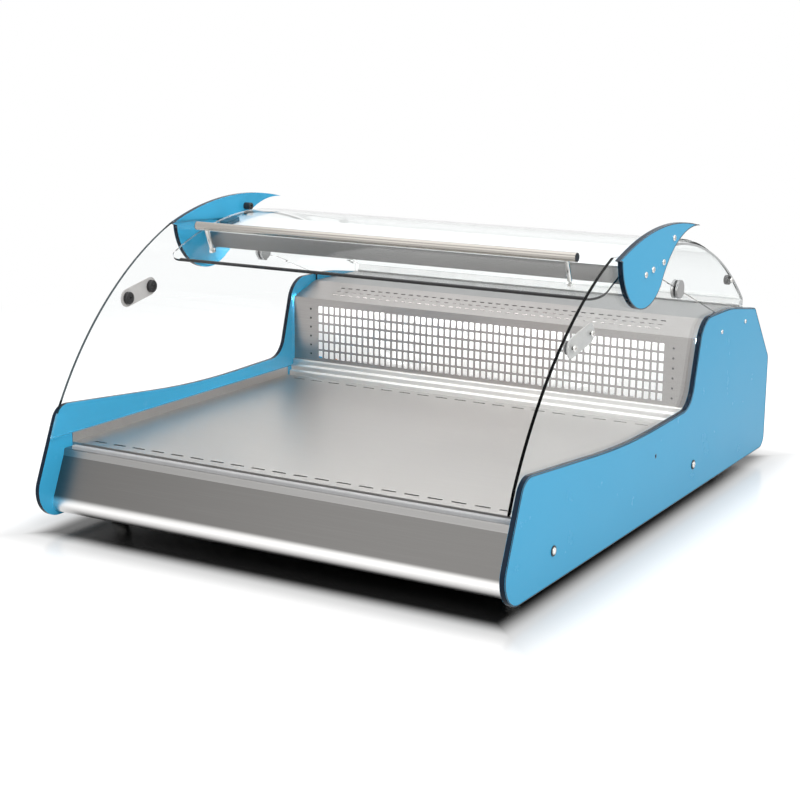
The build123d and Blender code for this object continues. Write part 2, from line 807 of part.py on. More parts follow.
# Base pan, feet and insulation
drain_point = [(0, front + drain_setback)]
foot_points = [
    (side * (half_in - foot_x_inset), y)
    for side in (1, -1)
    for y in (front + foot_front_inset, rear - foot_rear_inset)
]
pan_rear = rear_face - sheet_thick
rear_screw_points = [(x, pan_top + rear_flange / 2) for x in rear_screw_xs]
with BuildPart() as base_pan:
    block((-half_in, half_in), (pan_front, pan_rear), (base_height, pan_top))
    for side in (1, -1):
        wall = sorted((side * (half_in - pan_thick), side * half_in))
        block(wall, (pan_front, pan_rear), (pan_top, well_floor))
    block((-half_in, half_in), (pan_rear - pan_thick, pan_rear), (pan_top, pan_top + rear_flange))
    side_rods(panel_screw_points, screw_radius + fit_gap, -half_in, half_in, Mode.SUBTRACT)
    rear_rods(rear_screw_points, small_screw_radius + fit_gap, pan_rear - pan_thick, pan_rear, Mode.SUBTRACT)
    upright_rods(drain_point, drain_radius + curve_gap, base_height, pan_top, Mode.SUBTRACT)

with BuildPart() as foot_pads:
    upright_rods(foot_points, pad_radius, 0, pad_height)
    fillet(foot_pads.edges().filter_by(GeomType.CIRCLE).group_by(Axis.Z)[-1], pad_height / 4)

with BuildPart() as foot_studs:
    upright_rods(foot_points, foot_radius, pad_height, base_height)

with BuildPart() as base_insulation:
    block((-half_in + pan_thick, half_in - pan_thick), (well_front, grille_y), (pan_top, well_floor))
    upright_rods(drain_point, drain_radius + curve_gap, pan_top, well_floor, Mode.SUBTRACT)

# Well under the deck
well_rear = grille_y - ledge_depth
deck_low = deck_height - sheet_thick
with BuildPart() as well_tub:
    block((-half_in, half_in), (well_front, well_rear), (well_floor, deck_low))
    offset(amount=-sheet_thick, openings=well_tub.faces().sort_by(Axis.Z)[-1])
    upright_rods(drain_point, drain_radius + curve_gap, well_floor, deck_low, Mode.SUBTRACT)

with BuildPart() as drain_spigot:
    tub_floor = well_floor + sheet_thick
    upright_rods(drain_point, drain_radius, drain_end, tub_floor)
    upright_rods(drain_point, drain_radius + drain_flange, tub_floor, tub_floor + sheet_thick)
    upright_rods(drain_point, drain_radius - drain_wall, drain_end, tub_floor + sheet_thick, Mode.SUBTRACT)

deck_mid = (well_front + well_rear) / 2
deck_slot_pitch = (2 * half_in - 4 * deck_slot_inset) / (deck_slot_count - 1)
with BuildPart() as display_deck:
    block((-half_in, half_in), (well_front, well_rear), (deck_low, deck_height))
    for side in (1, -1):
        wall = sorted((side * (half_in - sheet_thick), side * half_in))
        block(wall, (well_front, well_rear), (deck_height, deck_height + deck_rim))
    with BuildSketch(Plane.XY.offset(deck_low)):
        with Locations((0, deck_mid)):
            with GridLocations(deck_slot_pitch, well_rear - well_front - 2 * deck_slot_inset,
                               deck_slot_count, 2):
                SlotOverall(deck_slot_length, deck_slot_width)
    extrude(amount=sheet_thick, mode=Mode.SUBTRACT)

# Stepped ledge, perforated grille and slotted duct top behind the deck
tread = ledge_depth / 3
ledge_levels = [deck_height + rise - wall_mid for rise in ledge_rises] + [ledge_top - wall_mid]
ledge_path = [(well_rear + wall_mid, well_floor)]
for step, level in enumerate(ledge_levels):
    ledge_path.append((well_rear + wall_mid + step * tread, level))
    ledge_path.append((well_rear + wall_mid + (step + 1) * tread, level))
ledge_path[-1] = (grille_y, ledge_levels[-1])
rear_ledge = bent_sheet(ledge_path, ledge_bend, half_clear)

hole_mid = ledge_top + hole_lift + hole_pitch_z * (hole_rows - 1) / 2
end_hole_x = half_clear - end_hole_inset
with BuildPart() as back_grille:
    with BuildSketch(Plane.XZ.offset(-grille_y)):
        with Locations((0, (ledge_top + grille_top) / 2)):
            Rectangle(2 * half_clear, grille_height)
        with Locations((0, hole_mid)):
            with GridLocations(hole_pitch_x, hole_pitch_z, hole_columns, hole_rows):
                RectangleRounded(hole_width, hole_height, hole_corner, mode=Mode.SUBTRACT)
            with GridLocations(2 * end_hole_x, hole_pitch_z, 2, hole_rows):
                Circle(end_hole_radius, mode=Mode.SUBTRACT)
    extrude(amount=sheet_thick)

duct_end = grille_y + duct_depth
duct_rise = (top_z - grille_top) / duct_depth
duct_run = math.hypot(duct_depth, top_z - grille_top)
duct_plane = Plane(
    origin=(0, (grille_y + duct_end) / 2, (grille_top + top_z) / 2),
    x_dir=(1, 0, 0),
    z_dir=(0, grille_top - top_z, duct_depth),
)
with BuildPart(duct_plane) as duct_top:
    block((-half_clear, half_clear), (-duct_run / 2, duct_run / 2), (-sheet_thick, 0))
    with BuildSketch(duct_plane.offset(-sheet_thick)):
        with GridLocations(slot_pitch_x, slot_pitch_y, slot_columns, slot_rows):
            SlotOverall(slot_length, slot_width)
    extrude(amount=sheet_thick, mode=Mode.SUBTRACT)

with BuildPart() as duct_light_strip:
    block((-half_clear, half_clear), (grille_y, grille_y + light_strip_depth),
          (grille_top - sheet_thick - light_strip_height, grille_top - sheet_thick))

# Air duct: fans on a plate behind the grille, the evaporator below them
fan_plate_y = grille_y + fan_plate_setback
fan_z = ledge_top + grille_height / 2
fan_xs = (-fan_spacing / 2, fan_spacing / 2)
fan_opening = fan_size / 2 - fan_wall
with BuildPart() as fan_plate:
    fan_plate_top = grille_top + fan_plate_setback * duct_rise - sheet_thick * math.hypot(1, duct_rise)
    block((-half_clear, half_clear), (fan_plate_y, fan_plate_y + sheet_thick), (ledge_top, fan_plate_top))
    with BuildSketch(Plane.XZ.offset(-fan_plate_y - sheet_thick)):
        with Locations(*[(x, fan_z) for x in fan_xs]):
            Circle(fan_opening)
    extrude(amount=sheet_thick, mode=Mode.SUBTRACT)

left_fan_frame, left_fan_rotor = axial_fan(fan_xs[0], fan_plate_y, fan_z, fan_size, fan_depth)
right_fan_frame, right_fan_rotor = axial_fan(fan_xs[1], fan_plate_y, fan_z, fan_size, fan_depth)
with BuildPart() as fan_frames:
    add(left_fan_frame.part)
    add(right_fan_frame.part)

evaporator_y = grille_y + evaporator_setback
condenser_y = rear_face - condenser_inset
evaporator_fins, evaporator_tube, coil_heights = finned_coil(0, evaporator_y, evaporator_length)
condenser_fins, condenser_tube, _ = finned_coil(condenser_x, condenser_y, condenser_length)

# Machine space behind the insulated bulkhead
pipe_x = -evaporator_length / 2 - pipe_side
pipe_points = [(pipe_x, coil_heights[-1]), (pipe_x, coil_heights[0])]
with BuildPart() as bulkhead:
    block((-half_clear, half_clear), (bulkhead_y, bulkhead_rear), (pan_top, top_z - sheet_thick))
    for x, z in pipe_points:
        with Locations(Location((x, bulkhead_y + bulkhead_thick / 2, z), (90, 0, 0))):
            Cylinder(pipe_radius + curve_gap, bulkhead_thick, mode=Mode.SUBTRACT)

compressor_y = bulkhead_rear + bay_depth / 2
compressor_low = pan_top + mount_height
mount_step = compressor_foot - 3 * mount_radius
with BuildPart() as compressor:
    with Locations((compressor_x, compressor_y, compressor_low + sheet_thick + compressor_height / 2)):
        Cylinder(compressor_radius, compressor_height)
    fillet(compressor.edges().filter_by(GeomType.CIRCLE), compressor_dome)
    with Locations((compressor_x, compressor_y, compressor_low + sheet_thick / 2)):
        Box(compressor_foot, compressor_foot, sheet_thick)

with BuildPart() as compressor_mounts:
    with Locations((compressor_x, compressor_y, pan_top + mount_height / 2)):
        with GridLocations(mount_step, mount_step, 2, 2):
            Cylinder(mount_radius, mount_height)

condenser_fan_y = condenser_y - coil_depth / 2
condenser_fan_z = pan_top + condenser_fan_size / 2
condenser_fan_frame, condenser_rotor = axial_fan(
    condenser_x, condenser_fan_y, condenser_fan_z, condenser_fan_size, condenser_fan_depth
)

pipe_reach = compressor_radius + curve_gap
condenser_end = condenser_x - condenser_length / 2
pipe_turn = condenser_end - pipe_side
liquid_y = bulkhead_rear + liquid_share * bay_depth
pipe_routes = [
    [
        (-evaporator_length / 2, evaporator_y, coil_heights[-1]),
        (pipe_x, evaporator_y, coil_heights[-1]),
        (pipe_x, compressor_y, coil_heights[-1]),
        (compressor_x - pipe_reach, compressor_y, coil_heights[-1]),
    ],
    [
        (compressor_x + pipe_reach, compressor_y, coil_heights[-1]),
        (pipe_turn, compressor_y, coil_heights[-1]),
        (pipe_turn, condenser_y, coil_heights[-1]),
        (condenser_end, condenser_y, coil_heights[-1]),
    ],
    [
        (condenser_end, condenser_y, coil_heights[0]),
        (pipe_turn, condenser_y, coil_heights[0]),
        (pipe_turn, liquid_y, coil_heights[0]),
        (pipe_x, liquid_y, coil_heights[0]),
        (pipe_x, evaporator_y, coil_heights[0]),
        (-evaporator_length / 2, evaporator_y, coil_heights[0]),
    ],
]
with BuildPart() as refrigerant_circuit:
    add(evaporator_tube.part)
    add(condenser_tube.part)
    for route in pipe_routes:
        with BuildLine() as pipe_path:
            FilletPolyline(*route, radius=pipe_bend)
        with BuildSketch(Plane(origin=pipe_path.line @ 0, z_dir=pipe_path.line % 0)):
            Circle(pipe_radius)
        sweep()

# Covers over the machine space; the sloped one carries the controls
top_cover_start = duct_end + sheet_thick * duct_rise / math.hypot(1, duct_rise)
with BuildPart() as top_cover:
    block((-half_clear, half_clear), (top_cover_start, top_cover_end), (top_z - sheet_thick, top_z))

body_half = (controller_width / 2 - bezel_rim, controller_height / 2 - bezel_rim)
switch_half = (switch_width / 2 - bezel_rim / 2, switch_height / 2 - bezel_rim / 2)
with BuildPart(slope) as control_panel:
    block((-half_in, half_in), (slope_start, slope_end), (-sheet_thick, 0))
    for x, half in ((controller_x, body_half), (switch_x, switch_half)):
        across = half[0] + fit_gap
        along = half[1] + fit_gap
        block((x - across, x + across), (control_run - along, control_run + along), (-sheet_thick, 0),
              Mode.SUBTRACT)

with BuildPart(slope) as rear_stop_rail:
    block((-cover_half, cover_half), (stop_rail_start, stop_rail_start + stop_rail_width),
          (0, stop_rail_height))
    fillet(rear_stop_rail.faces().sort_by(slope_normal)[-1].edges().filter_by(Axis.X), stop_rail_width / 6)

louvre_low = inlet_x + inlet_width / 2 + inlet_rim + louvre_inset
louvre_high = half_in - louvre_edge
louvre_length = (louvre_high - louvre_low - (louvre_columns - 1) * louvre_gap) / louvre_columns
louvre_mid = ((louvre_low + louvre_high) / 2, (base_height + rear_flange + rear_panel_top) / 2)
with BuildPart() as rear_panel:
    block((-half_in, half_in), (pan_rear, rear_face), (base_height, rear_panel_top))
    with BuildSketch(Plane.XZ.offset(-rear_face)):
        with Locations(louvre_mid):
            with GridLocations(louvre_length + louvre_gap, louvre_pitch_z, louvre_columns, louvre_rows):
                SlotOverall(louvre_length, louvre_width)
    extrude(amount=sheet_thick, mode=Mode.SUBTRACT)
    rear_rods(rear_screw_points, small_screw_radius + fit_gap, pan_rear, rear_face, Mode.SUBTRACT)
    block((inlet_x - inlet_width / 2 - fit_gap, inlet_x + inlet_width / 2 + fit_gap), (pan_rear, rear_face),
          (inlet_height - inlet_rise / 2 - fit_gap, inlet_height + inlet_rise / 2 + fit_gap), Mode.SUBTRACT)

# Controller with a lens and two buttons
lens_x = controller_x + lens_offset
button_x = controller_x + button_offset
button_runs = (control_run - button_pitch, control_run + button_pitch)
button_low = bezel_thick + button_proud - button_length
with BuildPart(slope) as controller_housing:
    block((controller_x - controller_width / 2, controller_x + controller_width / 2),
          (control_run - controller_height / 2, control_run + controller_height / 2), (0, bezel_thick))
    fillet(controller_housing.edges().filter_by(slope_normal), bezel_rim)
    block((controller_x - body_half[0], controller_x + body_half[0]),
          (control_run - body_half[1], control_run + body_half[1]), (-controller_body_depth, 0))
    block((lens_x - lens_width / 2 - fit_gap, lens_x + lens_width / 2 + fit_gap),
          (control_run - lens_height / 2 - fit_gap, control_run + lens_height / 2 + fit_gap),
          (bezel_thick - lens_thick, bezel_thick), Mode.SUBTRACT)
    for run in button_runs:
        hole_floor = button_low - button_travel - fit_gap
        with Locations((button_x, run, (hole_floor + bezel_thick) / 2)):
            Cylinder(button_radius + fit_gap, bezel_thick - hole_floor, mode=Mode.SUBTRACT)

with BuildPart(slope) as controller_lens:
    block((lens_x - lens_width / 2, lens_x + lens_width / 2),
          (control_run - lens_height / 2, control_run + lens_height / 2),
          (bezel_thick - lens_thick, bezel_thick))


def controller_button(run):
    """Round push button in its hole beside the lens."""
    with BuildPart(slope) as button:
        with Locations((button_x, run, button_low + button_length / 2)):
            Cylinder(button_radius, button_length)
        fillet(button.edges().filter_by(GeomType.CIRCLE).sort_by(slope_normal)[-1], button_proud / 4)
    return button


up_button = controller_button(button_runs[0])
down_button = controller_button(button_runs[1])

# Power switch: the rocker is a slice of a cylinder on two pins
pivot_depth = rocker_pin
rocker_wall = rocker_breadth / 2 + rocker_gap
pin_end = (rocker_wall + switch_half[0]) / 2
with BuildPart(slope) as switch_housing:
    block((switch_x - switch_width / 2, switch_x + switch_width / 2),
          (control_run - switch_height / 2, control_run + switch_height / 2), (0, bezel_thick))
    fillet(switch_housing.edges().filter_by(slope_normal), bezel_rim)
    block((switch_x - switch_half[0], switch_x + switch_half[0]),
          (control_run - switch_half[1], control_run + switch_half[1]), (-switch_body_depth, 0))
    block((switch_x - rocker_wall, switch_x + rocker_wall),
          (control_run - rocker_half - rocker_gap, control_run + rocker_half + rocker_gap),
          (-pivot_depth - rocker_half / 2 - rocker_gap, bezel_thick), Mode.SUBTRACT)
    side_rods([(control_run, -pivot_depth)], rocker_pin + rocker_pin_gap, switch_x - pin_end - fit_gap,
              switch_x + pin_end + fit_gap, Mode.SUBTRACT)

rocker_pivot = slope.from_local_coords(Vector(switch_x, control_run, -pivot_depth))
rocker_angle = slope_angle + math.radians(rocker_tilt)
rocker_plane = Plane(
    origin=rocker_pivot,
    x_dir=(0, math.cos(rocker_angle), -math.sin(rocker_angle)),
    z_dir=(1, 0, 0),
)
rocker_crest = bezel_thick + pivot_depth
rocker_ear = rocker_crest + rocker_half * math.tan(math.radians(rocker_tilt))
with BuildPart() as switch_rocker:
    with BuildSketch(rocker_plane):
        with BuildLine():
            Polyline(
                (-rocker_half, -rocker_half / 3),
                (rocker_half, -rocker_half / 3),
                (rocker_half, rocker_ear),
                (0, rocker_crest),
                (-rocker_half, rocker_ear),
                close=True,
            )
        make_face()
        Circle(rocker_half, mode=Mode.INTERSECT)
    extrude(amount=rocker_breadth / 2, both=True)
    side_rods([(rocker_pivot.Y, rocker_pivot.Z)], rocker_pin, switch_x - pin_end, switch_x + pin_end)

# Mains inlet with three blades
with BuildPart() as mains_inlet:
    inlet_half = (inlet_width / 2, inlet_rise / 2)
    block((inlet_x - inlet_half[0] - inlet_rim, inlet_x + inlet_half[0] + inlet_rim),
          (rear_face, rear_face + inlet_bezel),
          (inlet_height - inlet_half[1] - inlet_rim, inlet_height + inlet_half[1] + inlet_rim))
    fillet(mains_inlet.edges().filter_by(Axis.Y), inlet_rim)
    block((inlet_x - inlet_half[0], inlet_x + inlet_half[0]), (rear_face - inlet_depth, rear_face),
          (inlet_height - inlet_half[1], inlet_height + inlet_half[1]))
    block((inlet_x - inlet_half[0] + inlet_rim, inlet_x + inlet_half[0] - inlet_rim),
          (rear_face - inlet_depth + inlet_rim, rear_face + inlet_bezel),
          (inlet_height - inlet_half[1] + inlet_rim, inlet_height + inlet_half[1] - inlet_rim),
          Mode.SUBTRACT)
    for step, lift in ((-blade_pitch, 0), (0, blade_lift), (blade_pitch, 0)):
        x = inlet_x + step
        z = inlet_height + lift
        block((x - blade_thick / 2, x + blade_thick / 2),
              (rear_face - inlet_depth + inlet_rim, rear_face - inlet_rim),
              (z - blade_thick, z + blade_thick))

# Screws
with BuildPart() as rear_screws:
    rear_rods(rear_screw_points, small_head, rear_face, rear_face + head_height)
    fillet(rear_screws.edges().filter_by(GeomType.CIRCLE).group_by(Axis.Y)[-1], head_height / 3)
    rear_rods(rear_screw_points, small_screw_radius, pan_rear - pan_thick, rear_face)
panel_screws = side_screws(panel_screw_points, panel_head, screw_radius, half_out, half_in - pan_thick)
with BuildPart() as casing_screws:
    add(panel_screws.part)
    add(rear_screws.part)

fin_screws = side_screws(canopy_screw_points, fin_head, screw_radius, half_out, canopy_half)
pane_screws = side_screws(pane_screw_points, small_head, small_screw_radius, half_out, half_clear)
disc_screws = side_screws([fin_disc], fin_head, screw_radius, half_out, bracket_tip + head_height)
guide_screws = side_screws(bracket_points + [rear_disc], fin_head, screw_radius, half_in,
                           bracket_tip + head_height)
with BuildPart() as glazing_screws:
    add(fin_screws.part)
    add(pane_screws.part)
    add(disc_screws.part)
    add(guide_screws.part)

pieces = {
    "right_side_panel": right_side_panel,
    "left_side_panel": left_side_panel,
    "right_front_pane": right_front_pane,
    "left_front_pane": left_front_pane,
    "right_rear_pane": right_rear_pane,
    "left_rear_pane": left_rear_pane,
    "seam_clamps": seam_clamps,
    "right_fin": right_fin,
    "left_fin": left_fin,
    "casing_screws": casing_screws,
    "glazing_screws": glazing_screws,
    "guide_brackets": guide_brackets,
    "guide_discs": guide_discs,
    "lamp_canopy": lamp_canopy,
    "canopy_end_plates": canopy_end_plates,
    "lamp_diffuser": lamp_diffuser,
    "lamp_board": lamp_board,
    "cover_glides": cover_glides,
    "cover_sheet": cover_sheet,
    "handle_tube": handle_tube,
    "handle_caps": handle_caps,
    "handle_posts": handle_posts,
    "post_nuts": post_nuts,
    "front_apron": front_apron,
    "lip_seal": lip_seal,
    "base_pan": base_pan,
    "foot_pads": foot_pads,
    "foot_studs": foot_studs,
    "base_insulation": base_insulation,
    "well_tub": well_tub,
    "drain_spigot": drain_spigot,
    "display_deck": display_deck,
    "rear_ledge": rear_ledge,
    "back_grille": back_grille,
    "duct_top": duct_top,
    "duct_light_strip": duct_light_strip,
    "fan_plate": fan_plate,
    "fan_frames": fan_frames,
    "left_fan_rotor": left_fan_rotor,
    "right_fan_rotor": right_fan_rotor,
    "evaporator_fins": evaporator_fins,
    "condenser_fins": condenser_fins,
    "refrigerant_circuit": refrigerant_circuit,
    "bulkhead": bulkhead,
    "compressor": compressor,
    "compressor_mounts": compressor_mounts,
    "condenser_fan_frame": condenser_fan_frame,
    "condenser_rotor": condenser_rotor,
    "top_cover": top_cover,
    "control_panel": control_panel,
    "rear_stop_rail": rear_stop_rail,
    "rear_panel": rear_panel,
    "controller_housing": controller_housing,
    "controller_lens": controller_lens,
    "up_button": up_button,
    "down_button": down_button,
    "switch_housing": switch_housing,
    "switch_rocker": switch_rocker,
    "mains_inlet": mains_inlet,
}
for name, piece in pieces.items():
    piece.part.label = name
    export_step(piece.part, f"parts/{name}.step")
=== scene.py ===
# %% [markdown]
# # A counter-top display case, dressed for its portrait
#
# The case is two shaped side boards, clear panes that stand on them, a curved clear cover that rolls
# back over the top, and a stainless well with a perforated wall behind it. The frame holds all of these
# at their true size, so this lesson leaves their shapes alone and works on three things: what each
# surface is made of, the small pieces that the frame leaves plain, and the light it stands in.

# %% Load the frame
import json
import math

import bpy
from mathutils import Matrix, Vector


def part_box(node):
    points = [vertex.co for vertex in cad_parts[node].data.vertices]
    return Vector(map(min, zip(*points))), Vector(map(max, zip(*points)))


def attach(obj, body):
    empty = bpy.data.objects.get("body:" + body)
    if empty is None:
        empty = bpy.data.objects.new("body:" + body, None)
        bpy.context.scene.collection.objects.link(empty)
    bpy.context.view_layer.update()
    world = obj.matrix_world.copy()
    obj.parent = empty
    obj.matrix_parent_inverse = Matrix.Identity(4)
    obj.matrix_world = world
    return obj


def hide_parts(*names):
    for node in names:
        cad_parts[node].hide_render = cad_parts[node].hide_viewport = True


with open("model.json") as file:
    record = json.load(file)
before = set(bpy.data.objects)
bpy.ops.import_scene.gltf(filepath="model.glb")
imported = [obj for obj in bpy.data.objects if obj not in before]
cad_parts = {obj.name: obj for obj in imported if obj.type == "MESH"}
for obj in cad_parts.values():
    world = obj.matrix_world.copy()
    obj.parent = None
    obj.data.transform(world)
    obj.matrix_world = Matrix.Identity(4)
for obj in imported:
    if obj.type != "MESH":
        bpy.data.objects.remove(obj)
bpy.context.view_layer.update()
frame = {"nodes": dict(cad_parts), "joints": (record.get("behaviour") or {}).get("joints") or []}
nodes = frame["nodes"]
joints = {joint["name"]: joint for joint in frame["joints"]}

# %% [markdown]
# ## The camera
#
# The portrait is taken from the customer's right, a little above the case. A long lens keeps the sides
# nearly parallel. The camera could be aimed by a constraint, but then it couldn't be levelled by hand.
# Three angles do both: they turn it about the upright axis, tip it down and level it.

# %% Camera
view_place = Vector((1.64176, -2.93706, 0.96649))
view_yaw = math.radians(30.317)
view_pitch = math.radians(12.912)
view_level = math.radians(0.382)
view_lens = 75.2
sensor_width = 36.0

bpy.ops.object.select_all(action="DESELECT")
bpy.ops.object.camera_add()
camera = bpy.context.object
camera.name = "portrait_camera"
camera.data.lens = view_lens
camera.data.sensor_width = sensor_width
turn = (
    Matrix.Rotation(view_yaw, 4, "Z")
    @ Matrix.Rotation(math.radians(90) - view_pitch, 4, "X")
    @ Matrix.Rotation(view_level, 4, "Z")
)
camera.matrix_world = Matrix.Translation(view_place) @ turn
bpy.context.scene.camera = camera
print("camera at", [round(value, 3) for value in view_place])

# %% [markdown]
# ## Node groups that several finishes share
#
# Three effects come back again and again. Sheet goods show a different colour on their cut edge than on
# their faces, metal is brushed along one direction, and nothing that people touch is perfectly even.
# Each could be wired anew in every finish. Here it is built once, as a group that gives out a mask or a
# value, and every finish sets its own numbers.

# %% Group helpers
def new_group(name, inputs, output):
    """Empty shader node group with float or vector inputs and one float output."""
    group = bpy.data.node_groups.new(name, "ShaderNodeTree")
    for label, kind, value in inputs:
        socket = group.interface.new_socket(label, in_out="INPUT", socket_type=kind)
        socket.default_value = value
    group.interface.new_socket(output, in_out="OUTPUT", socket_type="NodeSocketFloat")
    entry = group.nodes.new("NodeGroupInput")
    leave = group.nodes.new("NodeGroupOutput")
    return group, entry, leave


def math_node(tree, operation, first, second=None):
    """Math node whose two values are sockets or plain numbers."""
    node = tree.nodes.new("ShaderNodeMath")
    node.operation = operation
    for socket, value in zip(node.inputs, (first, second)):
        if isinstance(value, (int, float)):
            socket.default_value = value
        elif value is not None:
            tree.links.new(value, socket)
    return node.outputs[0]


def object_place(tree):
    """Object coordinates, which are metres in the frame of the whole case."""
    return tree.nodes.new("ShaderNodeTexCoord").outputs["Object"]


# %% [markdown]
# The boards and panes stand upright across X. A point is on a cut edge when its distance from the middle
# plane lies between the two faces of the board. A second material on the edge would do as well, but the
# mask needs no choosing of faces.

# %% Cut edge of a board that stands across X
def place_axes(tree):
    """Sockets with the X, Y and Z of the object coordinates."""
    apart = tree.nodes.new("ShaderNodeSeparateXYZ")
    tree.links.new(object_place(tree), apart.inputs[0])
    return apart.outputs


def between(tree, value, low, high):
    """1 where a value lies between two limits, which are sockets or plain numbers."""
    past_low = math_node(tree, "GREATER_THAN", value, low)
    short_of_high = math_node(tree, "LESS_THAN", value, high)
    return math_node(tree, "MULTIPLY", past_low, short_of_high)


edge_group, entry, leave = new_group(
    "board_edge",
    [("Near", "NodeSocketFloat", 0.49), ("Far", "NodeSocketFloat", 0.5)],
    "Mask",
)
distance = math_node(edge_group, "ABSOLUTE", place_axes(edge_group)["X"])
on_edge = between(edge_group, distance, entry.outputs["Near"], entry.outputs["Far"])
edge_group.links.new(on_edge, leave.inputs["Mask"])
print("group", edge_group.name)

# %% [markdown]
# Brushed metal could have an anisotropic shader, which needs tangents along the brushing. Noise that is
# pulled out along one axis gives such streaks too, and it can drive a colour, a roughness and a bump.

# %% Brushed grain
grain_middle = 0.5
grain_group, entry, leave = new_group(
    "brushed_grain",
    [("Stretch", "NodeSocketVector", (6.0, 900.0, 900.0)), ("Depth", "NodeSocketFloat", 1.0)],
    "Value",
)
stretch = grain_group.nodes.new("ShaderNodeVectorMath")
stretch.operation = "MULTIPLY"
grain_group.links.new(object_place(grain_group), stretch.inputs[0])
grain_group.links.new(entry.outputs["Stretch"], stretch.inputs[1])
noise = grain_group.nodes.new("ShaderNodeTexNoise")
noise.inputs["Scale"].default_value = 1.0
noise.inputs["Detail"].default_value = 3.0
grain_group.links.new(stretch.outputs[0], noise.inputs["Vector"])
centred = math_node(grain_group, "SUBTRACT", noise.outputs[0], grain_middle)
scaled = math_node(grain_group, "MULTIPLY", centred, entry.outputs["Depth"])
grain_group.links.new(math_node(grain_group, "ADD", scaled, grain_middle), leave.inputs["Value"])
print("group", grain_group.name)

# %% [markdown]
# Hands and cloths leave soft clouds, large and small. They could be painted on each piece. A noise with
# some detail needs no painting, and its range is spread between two values that the finish gives.

# %% Handling marks
marks_group, entry, leave = new_group(
    "handling_marks",
    [("Scale", "NodeSocketFloat", 9.0), ("Low", "NodeSocketFloat", 0.2), ("High", "NodeSocketFloat", 0.3)],
    "Value",
)
cloud = marks_group.nodes.new("ShaderNodeTexNoise")
cloud.inputs["Detail"].default_value = 5.0
cloud.inputs["Roughness"].default_value = 0.62
marks_group.links.new(object_place(marks_group), cloud.inputs["Vector"])
marks_group.links.new(entry.outputs["Scale"], cloud.inputs["Scale"])
spread = marks_group.nodes.new("ShaderNodeMapRange")
spread.inputs["From Min"].default_value = 0.3
spread.inputs["From Max"].default_value = 0.7
marks_group.links.new(cloud.outputs[0], spread.inputs["Value"])
marks_group.links.new(entry.outputs["Low"], spread.inputs["To Min"])
marks_group.links.new(entry.outputs["High"], spread.inputs["To Max"])
marks_group.links.new(spread.outputs[0], leave.inputs["Value"])
print("group", marks_group.name)

# %% [markdown]
# ## Finishes
#
# A finish is one Principled shader. Numbers that hold all over the surface are typed on its sockets, and
# only what changes from place to place is linked: the colour, the roughness, a glow or a fine bump.
# Every finish could be wired by hand, but a few helpers keep each of them down to its own numbers.

# %% Finish helpers
def new_finish(name, colour, roughness, metallic=0.0, **sockets):
    """Material with one Principled shader; further sockets are given by name with underscores."""
    material = bpy.data.materials.new(name)
    material.use_nodes = True
    shader = material.node_tree.nodes["Principled BSDF"]
    shader.inputs["Base Color"].default_value = (*colour, 1.0)
    shader.inputs["Roughness"].default_value = roughness
    shader.inputs["Metallic"].default_value = metallic
    for label, value in sockets.items():
        shader.inputs[label.replace("_", " ")].default_value = value
    return material, material.node_tree, shader


def place_group(tree, group, **values):
    """Node that uses a shared group with this finish's own values."""
    node = tree.nodes.new("ShaderNodeGroup")
    node.node_tree = group
    for label, value in values.items():
        node.inputs[label].default_value = value
    return node.outputs[0]


def mixed_colour(tree, factor, first, second):
    """Colour between two, each a plain colour or a socket, by a mask or value."""
    mix = tree.nodes.new("ShaderNodeMix")
    mix.data_type = "RGBA"
    for label, colour in (("A", first), ("B", second)):
        if isinstance(colour, tuple):
            mix.inputs[label].default_value = (*colour, 1.0)
        else:
            tree.links.new(colour, mix.inputs[label])
    tree.links.new(factor, mix.inputs["Factor"])
    return mix.outputs["Result"]


def add_marks(tree, shader, scale, low, high):
    """Roughness that wanders between two values."""
    marks = place_group(tree, marks_group, Scale=scale, Low=low, High=high)
    tree.links.new(marks, shader.inputs["Roughness"])


def paint(piece, finish):
    """Gives a piece one finish."""
    piece.data.materials.clear()
    piece.data.materials.append(finish)


def wear(finish, *names):
    """Gives a finish to CAD nodes."""
    for name in names:
        paint(nodes[name], finish)
    print(finish.name, "on", ", ".join(names))


# %% [markdown]
# The side boards are a sky-blue laminate on a dark core. The core shows on every cut edge as a thin
# near-black line, which is what draws the outline of the case, so the edge mask covers the whole
# thickness and leaves only the two faces blue. Two faint tones keep those from looking printed.

# %% Blue board
blue_sky = (0.05, 0.43, 0.73)
blue_pale = (0.06, 0.45, 0.75)
board_core = (0.004, 0.014, 0.03)
board_edge_span = (0.4902, 0.4996)

blue_board, tree, shader = new_finish("blue_board", blue_sky, roughness=0.25, Specular_IOR_Level=0.12)
tone = place_group(tree, marks_group, Scale=2.2, Low=0.0, High=1.0)
face_colour = mixed_colour(tree, tone, blue_sky, blue_pale)
board_edge = place_group(tree, edge_group, Near=board_edge_span[0], Far=board_edge_span[1])
tree.links.new(mixed_colour(tree, board_edge, face_colour, board_core), shader.inputs["Base Color"])
add_marks(tree, shader, scale=14.0, low=0.23, high=0.28)
wear(blue_board, "right_side_panel", "left_side_panel", "right_fin", "left_fin")

# %% [markdown]
# The panes and the cover are clear acrylic with an anti-glare coating, so they mirror far less than
# plain glass, and the shader's index of refraction is set low for that. Seen edge on, a pane is as dark
# as the long way through it: the front panes' edges are nearly black, the rear panes' and the cover's a
# pale grey. Absorption inside the pane could do that, but it is slow to render clean, so the edge is
# tinted. The tint starts above the boards, and the faces stay clear.

# %% Clear panes
glass_clear = (0.975, 0.99, 0.99)
glass_index = 1.15
dark_edge = (0.008, 0.012, 0.014)
grey_edge = (0.72, 0.74, 0.74)
edge_tint_height = 0.225
pane_edge_span = (0.4839, 0.4895)


def clear_finish(name):
    """Clear acrylic without a tint."""
    return new_finish(name, glass_clear, roughness=0.0, Transmission_Weight=1.0, IOR=glass_index)


